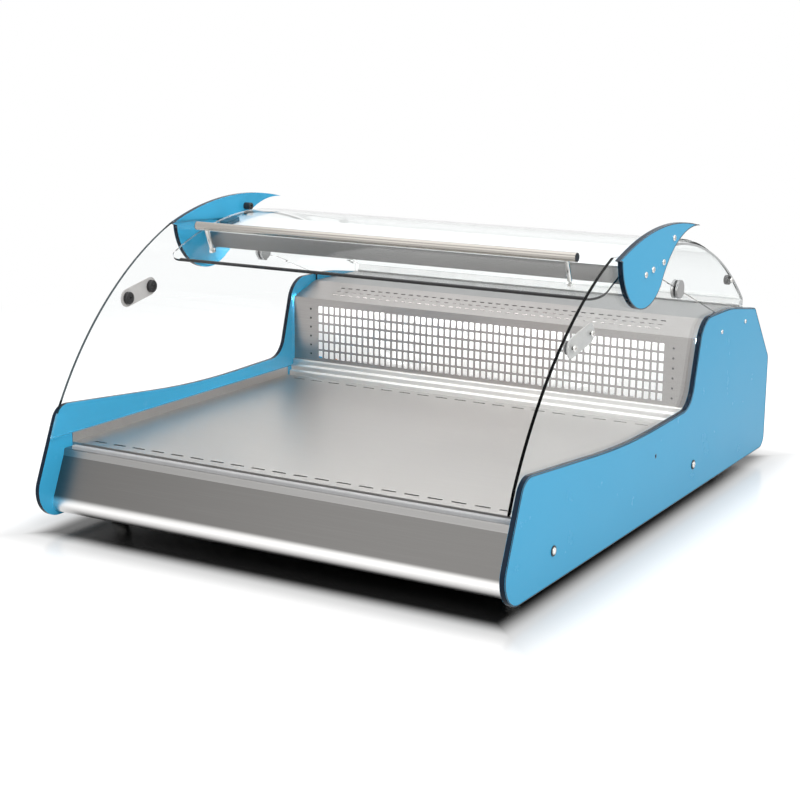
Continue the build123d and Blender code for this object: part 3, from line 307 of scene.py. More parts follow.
def pane_finish(name, edge_colour):
    """Clear pane that stands across X, with a tint on its cut edges above the boards."""
    finish, tree, shader = clear_finish(name)
    pane_edge = place_group(tree, edge_group, Near=pane_edge_span[0], Far=pane_edge_span[1])
    above_board = math_node(tree, "GREATER_THAN", place_axes(tree)["Z"], edge_tint_height)
    tinted = math_node(tree, "MULTIPLY", pane_edge, above_board)
    tree.links.new(mixed_colour(tree, tinted, glass_clear, edge_colour), shader.inputs["Base Color"])
    return finish


wear(pane_finish("front_glass", dark_edge), "right_front_pane", "left_front_pane")
wear(pane_finish("rear_glass", grey_edge), "right_rear_pane", "left_rear_pane")

# %% [markdown]
# The cover is a bent sheet, so the group for upright boards can't find its edges. They are found by
# radius: the faces lie on two cylinders about the roll axis, the edges between them.

# %% Clear cover
roll_axis = joints["cover_roll"]["pos_m"]
sheet_edge_span = (0.6658, 0.6702)

clear_sheet, tree, shader = clear_finish("clear_sheet")
place = place_axes(tree)
across = math_node(tree, "SUBTRACT", place["Y"], roll_axis[1])
above = math_node(tree, "SUBTRACT", place["Z"], roll_axis[2])
squares = [math_node(tree, "POWER", part, 2.0) for part in (across, above)]
radius = math_node(tree, "SQRT", math_node(tree, "ADD", *squares))
sheet_edge = between(tree, radius, *sheet_edge_span)
tree.links.new(mixed_colour(tree, sheet_edge, glass_clear, grey_edge), shader.inputs["Base Color"])
wear(clear_sheet, "cover_sheet")

# %% [markdown]
# Stainless sheet is brushed along the case. The grain does three things: it mixes two near tones, it
# varies the roughness, which spreads reflections into soft streaks, and it raises a bump too fine to see
# as shape. The sheets differ only in their numbers, so one function makes all their finishes.

# %% Brushed stainless
bump_height = 0.0002
grain_depth = 1.6
grain_bump = 0.08


def add_bump(tree, shader, height, strength):
    """Fine relief from a value that changes over the surface."""
    bump = tree.nodes.new("ShaderNodeBump")
    bump.inputs["Strength"].default_value = strength
    bump.inputs["Distance"].default_value = bump_height
    tree.links.new(height, bump.inputs["Height"])
    tree.links.new(bump.outputs["Normal"], shader.inputs["Normal"])


def brushed_finish(name, light, dark, low, high, stretch):
    """Brushed metal between two tones, with its grain along one axis."""
    finish, tree, shader = new_finish(name, light, roughness=low, metallic=1.0)
    grain = place_group(tree, grain_group, Stretch=stretch, Depth=grain_depth)
    tree.links.new(mixed_colour(tree, grain, dark, light), shader.inputs["Base Color"])
    sheen = tree.nodes.new("ShaderNodeMapRange")
    sheen.inputs["To Min"].default_value = low
    sheen.inputs["To Max"].default_value = high
    tree.links.new(grain, sheen.inputs["Value"])
    tree.links.new(sheen.outputs[0], shader.inputs["Roughness"])
    add_bump(tree, shader, grain, grain_bump)
    return finish


along_case = (5.0, 700.0, 700.0)
well_steel = brushed_finish("well_steel", light=(0.5, 0.49, 0.48), dark=(0.41, 0.40, 0.39),
                            low=0.32, high=0.44, stretch=along_case)
# The ledge's steel is a lighter copy of the well's: painted light, as from the case's lamp.
ledge_steel_painted_light = brushed_finish("ledge_steel_painted_light", light=(0.8, 0.79, 0.78), dark=(0.68, 0.67, 0.66),
                             low=0.3, high=0.4, stretch=along_case)
grille_steel = brushed_finish("grille_steel", light=(0.42, 0.40, 0.39), dark=(0.35, 0.33, 0.32),
                              low=0.3, high=0.42, stretch=along_case)
rear_steel = brushed_finish("rear_steel", light=(0.37, 0.37, 0.37), dark=(0.3, 0.3, 0.3),
                            low=0.36, high=0.5, stretch=along_case)
clamp_grey = brushed_finish("clamp_grey", light=(0.4, 0.4, 0.4), dark=(0.33, 0.33, 0.33),
                            low=0.35, high=0.45, stretch=along_case)
wear(well_steel, "display_deck", "well_tub")
wear(ledge_steel_painted_light, "rear_ledge")
wear(grille_steel, "back_grille", "duct_top")
wear(rear_steel, "top_cover", "control_panel", "rear_panel", "base_pan")
wear(clamp_grey, "seam_clamps")

# %% [markdown]
# The lamp canopy is satin aluminium, a mid grey on its front face. Its flat top catches the studio from
# above and bleaches out, and a near-white tone there, a painted highlight, helps it. Two materials on one
# piece would need its faces sorted. The top is a plane that rises towards the rear, so how far a point lies
# below that plane tells the face from the painted highlight.

# %% Canopy aluminium
canopy_face = (0.175, 0.173, 0.17)
canopy_painted_highlight = (0.9, 0.9, 0.9)
top_edge = (-0.12025, 0.52398)
top_slope = math.radians(8.75)
top_skin = 0.0016
satin_depth = 1.2
canopy_share = 0.1


def push_tone(tree, tone, grain, share):
    """Tone that the grain pushes up and down a little."""
    centred = math_node(tree, "SUBTRACT", grain, grain_middle)
    return math_node(tree, "ADD", tone, math_node(tree, "MULTIPLY", centred, share))


canopy_satin, tree, shader = new_finish("canopy_satin", canopy_face, roughness=0.52, metallic=1.0)
place = place_axes(tree)
behind = math_node(tree, "SUBTRACT", place["Y"], top_edge[0])
higher = math_node(tree, "SUBTRACT", place["Z"], top_edge[1])
across = math_node(tree, "ADD", math_node(tree, "MULTIPLY", behind, -math.sin(top_slope)),
                   math_node(tree, "MULTIPLY", higher, math.cos(top_slope)))
# Points on the top get the near-white painted highlight.
on_top_painted_highlight = math_node(tree, "GREATER_THAN", across, -top_skin)
grain = place_group(tree, grain_group, Stretch=along_case, Depth=satin_depth)
tone = push_tone(tree, on_top_painted_highlight, grain, canopy_share)
tree.links.new(mixed_colour(tree, tone, canopy_face, canopy_painted_highlight), shader.inputs["Base Color"])
wear(canopy_satin, "lamp_canopy", "canopy_end_plates")

# %% [markdown]
# The apron is stainless with a dark satin face. It has a lighter strip above the fold under the lip, and a
# painted highlight along the rolled foot. A mask could be painted for that, but both lie at known heights,
# and the height mixes the two tones: sharp at the strip's fold, gradual where the foot rolls under.

# %% Apron steel
apron_face = (0.155, 0.151, 0.146)
apron_strip_and_highlight = (0.85, 0.84, 0.83)
strip_height = 0.1388
strip_share = 0.22
roll_highlight_start = 0.068
roll_highlight_full = 0.056
apron_share = 0.06


def smooth_step(tree, value, start, end):
    """0 to 1 while a value goes from start to end, eased at both."""
    step = tree.nodes.new("ShaderNodeMapRange")
    step.interpolation_type = "SMOOTHSTEP"
    step.inputs["From Min"].default_value = start
    step.inputs["From Max"].default_value = end
    tree.links.new(value, step.inputs["Value"])
    return step.outputs[0]


apron_steel, tree, shader = new_finish("apron_steel", apron_face, roughness=0.32, metallic=1.0)
height = place_axes(tree)["Z"]
past_fold = math_node(tree, "GREATER_THAN", height, strip_height)
on_strip = math_node(tree, "MULTIPLY", past_fold, strip_share)
# The lighter strip above the fold, and the painted highlight along the rolled foot.
strip_and_highlight = math_node(tree, "MAXIMUM", on_strip, smooth_step(tree, height, roll_highlight_start, roll_highlight_full))
grain = place_group(tree, grain_group, Stretch=along_case, Depth=satin_depth)
tone = push_tone(tree, strip_and_highlight, grain, apron_share)
tree.links.new(mixed_colour(tree, tone, apron_face, apron_strip_and_highlight), shader.inputs["Base Color"])
add_bump(tree, shader, grain, grain_bump)
wear(apron_steel, "front_apron")

# %% [markdown]
# Posts, studs, nuts and screws are polished, the brightest metal on the case. They are too small to show
# a grain, so a smooth metal with handling marks does for all of them.

# %% Polished steel
polished_tone = (0.72, 0.71, 0.69)
polished_steel, tree, shader = new_finish("polished_steel", polished_tone, roughness=0.12, metallic=1.0)
add_marks(tree, shader, scale=30.0, low=0.08, high=0.16)
wear(polished_steel, "handle_posts", "post_nuts", "foot_studs", "casing_screws", "glazing_screws")

# %% [markdown]
# The handle tube is ground along its length. Its tone, warmer and darker than the fasteners', is a painted
# reflection of dark surroundings. It lies along X as the grain of the sheets does, so the brushed finish
# serves again with tones of its own.

# %% Handle steel
# Both tones are darkened and warmed as a painted reflection of dark surroundings.
handle_light = (0.44, 0.42, 0.39)
handle_dark = (0.36, 0.34, 0.31)
handle_steel = brushed_finish("handle_steel", light=handle_light, dark=handle_dark,
                              low=0.16, high=0.24, stretch=along_case)
wear(handle_steel, "handle_tube")

# %% [markdown]
# The plastics and rubbers are quieter: one colour, a roughness that wanders a little, and a fine grain
# as from a moulding tool. Each could have a picture of its grain, but they differ only in colour and in
# how dull they are, so one function makes them all.

# %% Moulded finish
marks_scale = 24.0
shade_scale = 40.0
shade_gain = 1.12
shade_lift = 0.002
tool_bump = 0.1


def moulded_finish(name, colour, low, high, grain_scale, **sockets):
    """Plain moulded material with handling marks and a fine tool grain."""
    finish, tree, shader = new_finish(name, colour, roughness=low, **sockets)
    add_marks(tree, shader, marks_scale, low, high)
    shade = place_group(tree, marks_group, Scale=shade_scale, Low=0.0, High=1.0)
    lighter = tuple(min(1.0, part * shade_gain + shade_lift) for part in colour)
    tree.links.new(mixed_colour(tree, shade, colour, lighter), shader.inputs["Base Color"])
    tool_grain = place_group(tree, marks_group, Scale=grain_scale, Low=0.0, High=1.0)
    add_bump(tree, shader, tool_grain, tool_bump)
    return finish


# %% Plastics, rubber, foam and enamel
black_nylon = moulded_finish("black_nylon", (0.012, 0.012, 0.013), low=0.38, high=0.5, grain_scale=900.0)
black_rubber = moulded_finish("black_rubber", (0.018, 0.018, 0.018), low=0.6, high=0.75, grain_scale=500.0)
white_moulding = moulded_finish("white_moulding", (0.78, 0.78, 0.77), low=0.4, high=0.5, grain_scale=700.0)
pale_silicone = moulded_finish("pale_silicone", (0.36, 0.36, 0.365), low=0.5, high=0.6, grain_scale=300.0)
bracket_grey = moulded_finish("bracket_grey", (0.52, 0.51, 0.5), low=0.35, high=0.45, grain_scale=500.0)
key_grey = moulded_finish("key_grey", (0.09, 0.09, 0.095), low=0.4, high=0.5, grain_scale=800.0)
foam_board = moulded_finish("foam_board", (0.74, 0.66, 0.42), low=0.8, high=0.9, grain_scale=260.0)
black_enamel = moulded_finish("black_enamel", (0.015, 0.015, 0.016), low=0.22, high=0.32, grain_scale=160.0)
smoked_lens = moulded_finish("smoked_lens", (0.02, 0.006, 0.006), low=0.05, high=0.09, grain_scale=300.0)
print(len(bpy.data.materials), "finishes so far")

# %% Their pieces
wear(black_nylon, "guide_discs", "cover_glides", "handle_caps", "drain_spigot")
wear(black_nylon, "controller_housing", "switch_housing", "switch_rocker", "mains_inlet")
wear(black_nylon, "condenser_fan_frame", "condenser_rotor")
wear(black_rubber, "foot_pads", "compressor_mounts")
wear(white_moulding, "lamp_board", "rear_stop_rail")
wear(pale_silicone, "lip_seal")
wear(bracket_grey, "guide_brackets")
wear(key_grey, "up_button", "down_button")
wear(foam_board, "base_insulation")
wear(black_enamel, "compressor")
wear(smoked_lens, "controller_lens")

# %% [markdown]
# The coils inside are bare metal: aluminium fins with their grain upright, as they were rolled, and
# copper tube. They hardly show, so nothing new is made for them: both are brushed finishes with other
# tones.

# %% Bare metals of the coils
up_case = (700.0, 700.0, 5.0)
bare_fins = brushed_finish("bare_fins", light=(0.78, 0.78, 0.78), dark=(0.68, 0.68, 0.69),
                           low=0.3, high=0.4, stretch=up_case)
bare_copper = brushed_finish("bare_copper", light=(0.62, 0.28, 0.15), dark=(0.5, 0.2, 0.1),
                             low=0.25, high=0.4, stretch=along_case)
wear(bare_fins, "evaporator_fins", "condenser_fins")
wear(bare_copper, "refrigerant_circuit")

# %% [markdown]
# Two pieces give light themselves: the opal diffuser under the canopy, which washes the well, and a
# strip behind the perforated wall. Lamps could be hung there, but a lamp is no part of the case, so the
# surfaces of the two pieces give the light.

# %% Lamps of the case
white_light = (1.0, 1.0, 1.0)
warm_light = (1.0, 0.98, 0.95)
lamp_marks = 20.0


def lamp_finish(name, colour, light, strength):
    """Opal surface that gives light."""
    finish, tree, shader = new_finish(name, colour, roughness=0.5, Emission_Strength=strength,
                                      Emission_Color=(*light, 1.0))
    add_marks(tree, shader, lamp_marks, low=0.45, high=0.55)
    return finish


wear(lamp_finish("lamp_opal", (0.9, 0.9, 0.88), warm_light, strength=6.0), "lamp_diffuser")
wear(lamp_finish("duct_light", (0.95, 0.95, 0.95), white_light, strength=14.0), "duct_light_strip")

# %% [markdown]
# The strip shines on a fan plate moulded in milky white. The light that soaks into such a plate could be
# scattered below its surface, which is slow, so a faint glow gives it back as painted light, and every hole
# of the wall shows white. Along the top, plate and bulkhead are painted black as shade and don't glow,
# which keeps the slots of the duct top dark.

# %% Milky pieces behind the wall
no_light = (0.0, 0.0, 0.0)
milk = (0.8, 0.8, 0.8)
painted_shade_black = (0.02, 0.02, 0.02)
milk_glow = 0.45
lit_height = 0.325

# The glow of the fan frames and rotors is painted light.
milky_white = moulded_finish("milky_white", milk, low=0.4, high=0.5, grain_scale=700.0,
                             Emission_Strength=milk_glow, Emission_Color=(*white_light, 1.0))
wear(milky_white, "fan_frames", "left_fan_rotor", "right_fan_rotor")

lit_plate, tree, shader = new_finish("lit_plate", milk, roughness=0.45, Emission_Strength=milk_glow)
lit = math_node(tree, "LESS_THAN", place_axes(tree)["Z"], lit_height)
# Above lit_height the plate is painted black as shade, with its glow off.
tree.links.new(mixed_colour(tree, lit, painted_shade_black, milk), shader.inputs["Base Color"])
tree.links.new(mixed_colour(tree, lit, no_light, white_light), shader.inputs["Emission Color"])
add_marks(tree, shader, lamp_marks, low=0.4, high=0.5)
wear(lit_plate, "fan_plate", "bulkhead")
print(len(bpy.data.materials), "finishes")

# %% [markdown]
# ## Small pieces
#
# The frame's screws are plain round heads, its rear sheet has plain slots and its controls are bare.
# Most of the pieces that follow are modelled as by hand: at the origin, with the face that will show
# pointing up. With a mouse one would click on faces and edges. Here two helpers choose them by where
# they are.

# %% Helpers to start a mesh and choose its parts
nearly = 0.9


def start_mesh(operator, **settings):
    """New mesh from a primitive, with nothing else selected and its place put into its points."""
    bpy.ops.object.select_all(action="DESELECT")
    operator(**settings)
    bpy.ops.object.transform_apply(location=True, rotation=True, scale=True)
    return bpy.context.object


def pick_faces(piece, test):
    """Edit mode with only those faces selected whose centre and normal pass the test."""
    bpy.ops.object.mode_set(mode="EDIT")
    bpy.ops.mesh.select_mode(type="FACE")
    bpy.ops.mesh.select_all(action="DESELECT")
    bpy.ops.object.mode_set(mode="OBJECT")
    for face in piece.data.polygons:
        face.select = test(face.center, face.normal)
    bpy.ops.object.mode_set(mode="EDIT")


def pick_edges(piece, test):
    """Edit mode with only those edges selected whose two ends pass the test."""
    bpy.ops.object.mode_set(mode="EDIT")
    bpy.ops.mesh.select_mode(type="EDGE")
    bpy.ops.mesh.select_all(action="DESELECT")
    bpy.ops.object.mode_set(mode="OBJECT")
    points = piece.data.vertices
    for edge in piece.data.edges:
        edge.select = test(points[edge.vertices[0]].co, points[edge.vertices[1]].co)
    bpy.ops.object.mode_set(mode="EDIT")


# %% [markdown]
# The finished model is then copied to its places. Copies could share one mesh, but each piece is handed
# over as one mesh of its own. So every copy gets its own mesh, the copies are joined, and the result
# lies unturned at the origin, where patterns on object coordinates don't slide.

# %% Helpers to copy, join and dress
smooth_angle = math.radians(30)


def pick_only(piece):
    """Selects one piece alone and makes it the active one."""
    bpy.ops.object.select_all(action="DESELECT")
    piece.select_set(True)
    bpy.context.view_layer.objects.active = piece


def own_copy(piece):
    """Copy of a piece with a mesh of its own, selected alone."""
    pick_only(piece)
    bpy.ops.object.duplicate(linked=False)
    return bpy.context.object


def set_out(piece, places):
    """Copies of a piece at the given places; the model itself is removed."""
    copies = []
    for place in places:
        copy = own_copy(piece)
        copy.matrix_world = place
        copies.append(copy)
    bpy.data.objects.remove(piece)
    return copies


def join_up(copies, name):
    """One piece from many copies, at the origin and unturned."""
    bpy.ops.object.select_all(action="DESELECT")
    for copy in copies:
        copy.select_set(True)
    bpy.context.view_layer.objects.active = copies[0]
    bpy.ops.object.transform_apply(location=True, rotation=True, scale=True)
    if len(copies) > 1:
        bpy.ops.object.join()
    piece = bpy.context.object
    piece.name = name
    bpy.ops.object.shade_smooth_by_angle(angle=smooth_angle)
    return piece


def dress(piece, finish, body="case"):
    """Finish and body of a new piece."""
    paint(piece, finish)
    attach(piece, body)
    print(piece.name, len(piece.data.polygons), "faces on", body)


# %% [markdown]
# A glazing screw is a low round head with a cross recess and a plain shank. The head is a cylinder with
# its rim bevelled, and the shank is the underside inset and pulled down. The cross could be drawn into
# the head's faces, but it is plainer to cut it with two slim bars.

# %% Cross-recess screw
head_height = 0.003
head_round = 0.6
recess_long = 1.1
recess_wide = 0.26


def cut_away(piece, cutter):
    """Takes the cutter's volume out of the piece and removes the cutter."""
    pick_only(piece)
    bpy.ops.object.modifier_add(type="BOOLEAN")
    step = piece.modifiers[-1]
    step.operation = "DIFFERENCE"
    step.object = cutter
    bpy.ops.object.modifier_apply(modifier=step.name)
    bpy.data.objects.remove(cutter)


def standing_disc(vertices, radius, height):
    """Cylinder that stands on the origin."""
    return start_mesh(bpy.ops.mesh.primitive_cylinder_add, vertices=vertices, radius=radius, depth=height,
                      location=(0, 0, height / 2))


def round_head(vertices, radius, rounding, shank, length):
    """Head that sits on the origin with its rim rounded, and a plain shank below."""
    head = standing_disc(vertices, radius, head_height)
    pick_edges(head, lambda a, b: min(a.z, b.z) > head_height * nearly)
    bpy.ops.mesh.bevel(offset=head_height * rounding, segments=4)
    pick_faces(head, lambda centre, normal: normal.z < -nearly)
    bpy.ops.mesh.inset(thickness=radius - shank)
    bpy.ops.mesh.extrude_region_move(TRANSFORM_OT_translate={"value": (0, 0, -length)})
    bpy.ops.object.mode_set(mode="OBJECT")
    return head


def cross_screw(radius, shank, length):
    """Screw with a low round head and a cross recess."""
    screw = round_head(32, radius, head_round, shank, length)
    for along, across in ((recess_long, recess_wide), (recess_wide, recess_long)):
        bar = start_mesh(bpy.ops.mesh.primitive_cube_add, size=1.0, location=(0, 0, head_height),
                         scale=(radius * along, radius * across, head_height))
        cut_away(screw, bar)
    return screw


# %% [markdown]
# Fins, panes and guides need four lengths of screw, and each is copied to both sides of the case. The
# points are given as depth and height. They could be read from the frame's screws, but those are one
# piece.

# %% Glazing screws in their places
outer_face = 0.5
pane_face = 0.49
fin_points = ((-0.09889, 0.51007), (-0.06429, 0.51539), (-0.01389, 0.52315))
pane_points = ((0.329, 0.337), (0.47402, 0.337))
fin_guide_points = ((0.03553, 0.56343),)
guide_points = ((-0.38142, 0.41917), (-0.30846, 0.43347), (0.40174, 0.43433))
large_screw = (0.006, 0.003)
small_screw = (0.0045, 0.0025)
screw_sets = (
    (large_screw, 0.0196, outer_face, fin_points),
    (small_screw, 0.0166, outer_face, pane_points),
    (large_screw, 0.0241, outer_face, fin_guide_points),
    (large_screw, 0.0141, pane_face, guide_points),
)


def on_side(x, y, z):
    """Place on a side of the case, with the piece's top facing outwards."""
    quarter = math.copysign(math.radians(90), x)
    return Matrix.Translation((x, y, z)) @ Matrix.Rotation(quarter, 4, "Y")


glazing_set = []
for radii, length, face, points in screw_sets:
    places = [on_side(side * face, y, z) for side in (1, -1) for y, z in points]
    glazing_set += set_out(cross_screw(*radii, length), places)
glazing_heads = join_up(glazing_set, "glazing_screw_set")
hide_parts("glazing_screws")
dress(glazing_heads, polished_steel)

# %% [markdown]
# The big screws of the side boards show a pale steel button, a domed cylinder with a six-sided socket.
# The dome could be a flattened sphere, but a bevel keeps its foot flat on the board.

# %% Button screws of the boards
button_radius = 0.0066
button_round = 0.5
button_shank = 0.003
button_length = 0.012
socket_radius = 0.0026
board_screw_height = 0.084
board_screw_depths = (-0.465, 0.196)
board_screw_places = [
    on_side(side * outer_face, y, board_screw_height) for side in (1, -1) for y in board_screw_depths
]
button = round_head(40, button_radius, button_round, button_shank, button_length)
socket = start_mesh(bpy.ops.mesh.primitive_cylinder_add, vertices=6, radius=socket_radius,
                    depth=head_height, location=(0, 0, head_height))
cut_away(button, socket)
casing_set = set_out(button, board_screw_places)
print(len(casing_set), "button screws")

# %% [markdown]
# The rear sheet has small screws of the cross kind, so the model of the glazing screw serves again with
# a short shank. Together with the buttons they take the place of the frame's plain screws.

# %% Screws of the rear sheet
rear_face = 0.635
rear_length = 0.0035
rear_screw_height = 0.047
rear_screw_columns = (-0.45, -0.15, 0.15, 0.45)


def on_rear(x, y, z):
    """Place on the rear of the case, with the piece's top facing the server and its Y axis up."""
    axes = Matrix(((-1, 0, 0), (0, 0, 1), (0, 1, 0))).to_4x4()
    return Matrix.Translation((x, y, z)) @ axes


rear_screw_places = [on_rear(x, rear_face, rear_screw_height) for x in rear_screw_columns]
casing_set += set_out(cross_screw(*small_screw, rear_length), rear_screw_places)
casing_heads = join_up(casing_set, "casing_screw_set")
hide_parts("casing_screws")
dress(casing_heads, polished_steel)

# %% [markdown]
# Each button sits in a dark ring, a washer. A torus would be round all over, so it is a disc instead,
# whose two faces are inset and bridged through, then rounded over at its outer rim.

# %% Rings round the board screws
ring_radius = 0.0095
ring_height = 0.0018
ring_play = 0.0001
ring_rim = 0.009
ring_round = 0.0008


def bore_through(disc, wall):
    """Opens a disc from face to face and leaves a wall round the bore."""
    pick_faces(disc, lambda centre, normal: abs(normal.z) > nearly)
    bpy.ops.mesh.inset(thickness=wall)
    bpy.ops.mesh.bridge_edge_loops()
    bpy.ops.object.mode_set(mode="OBJECT")


ring = standing_disc(48, ring_radius, ring_height)
bore_through(ring, ring_radius - button_radius - ring_play)
pick_edges(ring, lambda a, b: min(a.z, b.z) > ring_height * nearly
           and min(a.xy.length, b.xy.length) > ring_rim)
bpy.ops.mesh.bevel(offset=ring_round, segments=3)
bpy.ops.object.mode_set(mode="OBJECT")
screw_rings = join_up(set_out(ring, board_screw_places), "board_screw_rings")
dress(screw_rings, black_nylon)

# %% [markdown]
# The slots of the rear sheet are louvres on the real thing: the metal is pressed out into a hood over
# each slot, open below, so that drips run past it. The sheet comes from the frame and stays as it is, so
# hoods are set over its slots. One hood starts as a box. Its outer top edge is pushed back nearly to the
# sheet, its ends are rounded, the back and the underside are removed, and what is left gets a wall.
# Forty copies cover the slots.

# %% Louvre hoods
hood_length = 0.12
hood_rise = 0.013
hood_depth = 0.006
hood_round = 0.005
hood_wall = 0.0008
louvre_middle = 0.14594
louvre_pitch = 0.018
louvre_columns = (-0.21, -0.07, 0.07, 0.21, 0.35)
louvre_rows = 8
inwards = -1.0


def give_wall(surface, thickness, direction):
    """Gives a surface a wall on its inner or outer side."""
    bpy.ops.object.modifier_add(type="SOLIDIFY")
    wall = surface.modifiers[-1]
    wall.thickness = thickness
    wall.offset = direction
    bpy.ops.object.modifier_apply(modifier=wall.name)


hood = start_mesh(bpy.ops.mesh.primitive_cube_add, size=1.0, location=(0, 0, hood_depth / 2),
                  scale=(hood_length, hood_rise, hood_depth))
pick_edges(hood, lambda a, b: min(a.z, b.z) > hood_depth * nearly and min(a.y, b.y) > 0)
bpy.ops.transform.translate(value=(0, 0, -hood_depth * nearly))
pick_edges(hood, lambda a, b: a.y * b.y < 0 and max(a.z, b.z) > hood_depth * nearly)
bpy.ops.mesh.bevel(offset=hood_round, segments=4)
pick_faces(hood, lambda centre, normal: normal.z < -nearly or normal.y < -nearly)
bpy.ops.mesh.delete(type="FACE")
bpy.ops.object.mode_set(mode="OBJECT")
give_wall(hood, hood_wall, inwards)
hood_places = [
    on_rear(x, rear_face, louvre_middle + (row - (louvre_rows - 1) / 2) * louvre_pitch)
    for x in louvre_columns
    for row in range(louvre_rows)
]
hoods = join_up(set_out(hood, hood_places), "louvre_hoods")
dress(hoods, rear_steel)

# %% [markdown]
# The controls face the server. The sloped sheet carries them, and its direction is already in the frame:
# the push buttons slide straight into it. Angles could be typed in again, but from that one direction
# come the three axes of a place on the slope, with the reader's right to the left of the case.

# %% Places on the slope
slope_in = Vector(joints["up_press"]["axis"])
slope_up = Vector((0, slope_in.z, -slope_in.y))
slope_axes = Matrix((Vector((-1, 0, 0)), slope_up, -slope_in)).transposed().to_4x4()


def middle_of(name):
    """Middle of a node's box."""
    low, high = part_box(name)
    return (Vector(low) + Vector(high)) / 2


def on_slope(centre, right=0.0, up=0.0, proud=0.0, turn=0.0):
    """Place on the sloped sheet, moved from a centre in the reader's own directions."""
    shift = slope_axes @ Vector((right, up, proud))
    return Matrix.Translation(centre + shift) @ slope_axes @ Matrix.Rotation(math.radians(turn), 4, "Z")


print("slope faces", [round(value, 3) for value in -slope_in])

# %% [markdown]
# The display shows a reading in seven-bar figures. A text object would have the round shapes of its
# font. One bar is a flat box with pointed ends, copied for each bar that is lit.

# %% One bar of the display
bar_length = 0.0062
bar_width = 0.0013
bar_thick = 0.00025
bar_point = 0.42


def round_corners(piece, height, corner, segments):
    """Bevels the upright edges of a piece that stands on the origin."""
    pick_edges(piece, lambda a, b: abs(a.z - b.z) > height / 2)
    bpy.ops.mesh.bevel(offset=corner, segments=segments)
    bpy.ops.object.mode_set(mode="OBJECT")


def flat_bar(length, width, thick, corner, segments):
    """Flat box that lies on the origin, with its corners bevelled."""
    piece = start_mesh(bpy.ops.mesh.primitive_cube_add, size=1.0, location=(0, 0, thick / 2),
                       scale=(length, width, thick))
    round_corners(piece, thick, corner, segments)
    return piece


bar = flat_bar(bar_length, bar_width, bar_thick, bar_width * bar_point, segments=1)
print("bar with", len(bar.data.polygons), "faces")

# %% Figures of the reading
figure_step = 0.0135
half_figure = 0.0034
bars = {
    "top": (0, 2 * half_figure, 0), "middle": (0, 0, 0), "bottom": (0, -2 * half_figure, 0),
    "left_up": (-half_figure, half_figure, 90), "right_up": (half_figure, half_figure, 90),
    "left_down": (-half_figure, -half_figure, 90), "right_down": (half_figure, -half_figure, 90),
}
two = ("top", "right_up", "middle", "left_down", "bottom")
nought = ("top", "left_up", "right_up", "left_down", "right_down", "bottom")
lens_middle = middle_of("controller_lens")
lens_half = 0.001
bar_places = []
for shift, lit in ((-figure_step / 2, nought), (figure_step / 2, two)):
    for label in lit:
        right, up, turn = bars[label]
        bar_places.append(on_slope(lens_middle, shift + right, up, lens_half, turn))
red_light = (1.0, 0.05, 0.02)
lit_red, tree, shader = new_finish("lit_red", (0.5, 0.02, 0.01), roughness=0.4, Emission_Strength=1.6,
                                   Emission_Color=(*red_light, 1.0))
add_marks(tree, shader, scale=60.0, low=0.35, high=0.45)
reading = join_up(set_out(bar, bar_places), "display_reading")
dress(reading, lit_red)

# %% [markdown]
# The two buttons carry an arrow each, up and down. A mask in the finish could colour them, but moulded
# marks catch the light, so they are raised a quarter of a millimetre: a three-sided cylinder with its
# corners rounded. Each arrow rides with its button, so it moves with the press.

# %% Arrows on the buttons
mark_white = moulded_finish("mark_white", (0.8, 0.8, 0.78), low=0.4, high=0.5, grain_scale=600.0)
button_half = 0.0045
arrow_radius = 0.0021
arrow_thick = 0.00025
mark_round = 0.0004
for node, body, turn in (("up_button", "up_key", 0), ("down_button", "down_key", 180)):
    arrow = standing_disc(3, arrow_radius, arrow_thick)
    round_corners(arrow, arrow_thick, mark_round, segments=3)
    place = on_slope(middle_of(node), proud=button_half, turn=turn)
    dress(join_up(set_out(arrow, [place]), node + "_arrow"), mark_white, body)

# %% [markdown]
# The power switch has a bar for on and a ring for off, one on each half of its rocker. The halves lean
# apart, and the rocker itself rests tipped, so a mark's place is worked out from the pivot, one turn
# after another.

# %% Bar and ring on the power switch
rocker_tilt = math.radians(8.0)
rocker_face = 0.0056
rocker_rise = 0.0055
stroke_width = 0.0009
stroke_length = 0.005
mark_thick = 0.00024
mark_ring_radius = 0.0026
face_rise = rocker_rise + rocker_face * math.tan(rocker_tilt)
pivot = Vector(joints["power_rocker"]["pos_m"])
tilted = slope_axes @ Matrix.Rotation(rocker_tilt, 4, "X")


def on_rocker(side):
    """Place in the middle of one of the rocker's two faces."""
    return (Matrix.Translation(pivot) @ tilted @ Matrix.Translation((0, side * rocker_face, face_rise))
            @ Matrix.Rotation(side * rocker_tilt, 4, "X"))


stroke = flat_bar(stroke_width, stroke_length, mark_thick, mark_round, segments=3)
ring = standing_disc(36, mark_ring_radius, mark_thick)
bore_through(ring, stroke_width)
switch_marks = join_up(set_out(stroke, [on_rocker(1)]) + set_out(ring, [on_rocker(-1)]), "switch_marks")
dress(switch_marks, mark_white, "rocker")

# %% [markdown]
# Each foot is a stud with a lock nut against the base. The nut starts as a six-sided cylinder. A cutter
# could drill it, but insetting its two faces and bridging them leaves a cleaner bore. Both rims are
# chamfered as on a real nut.

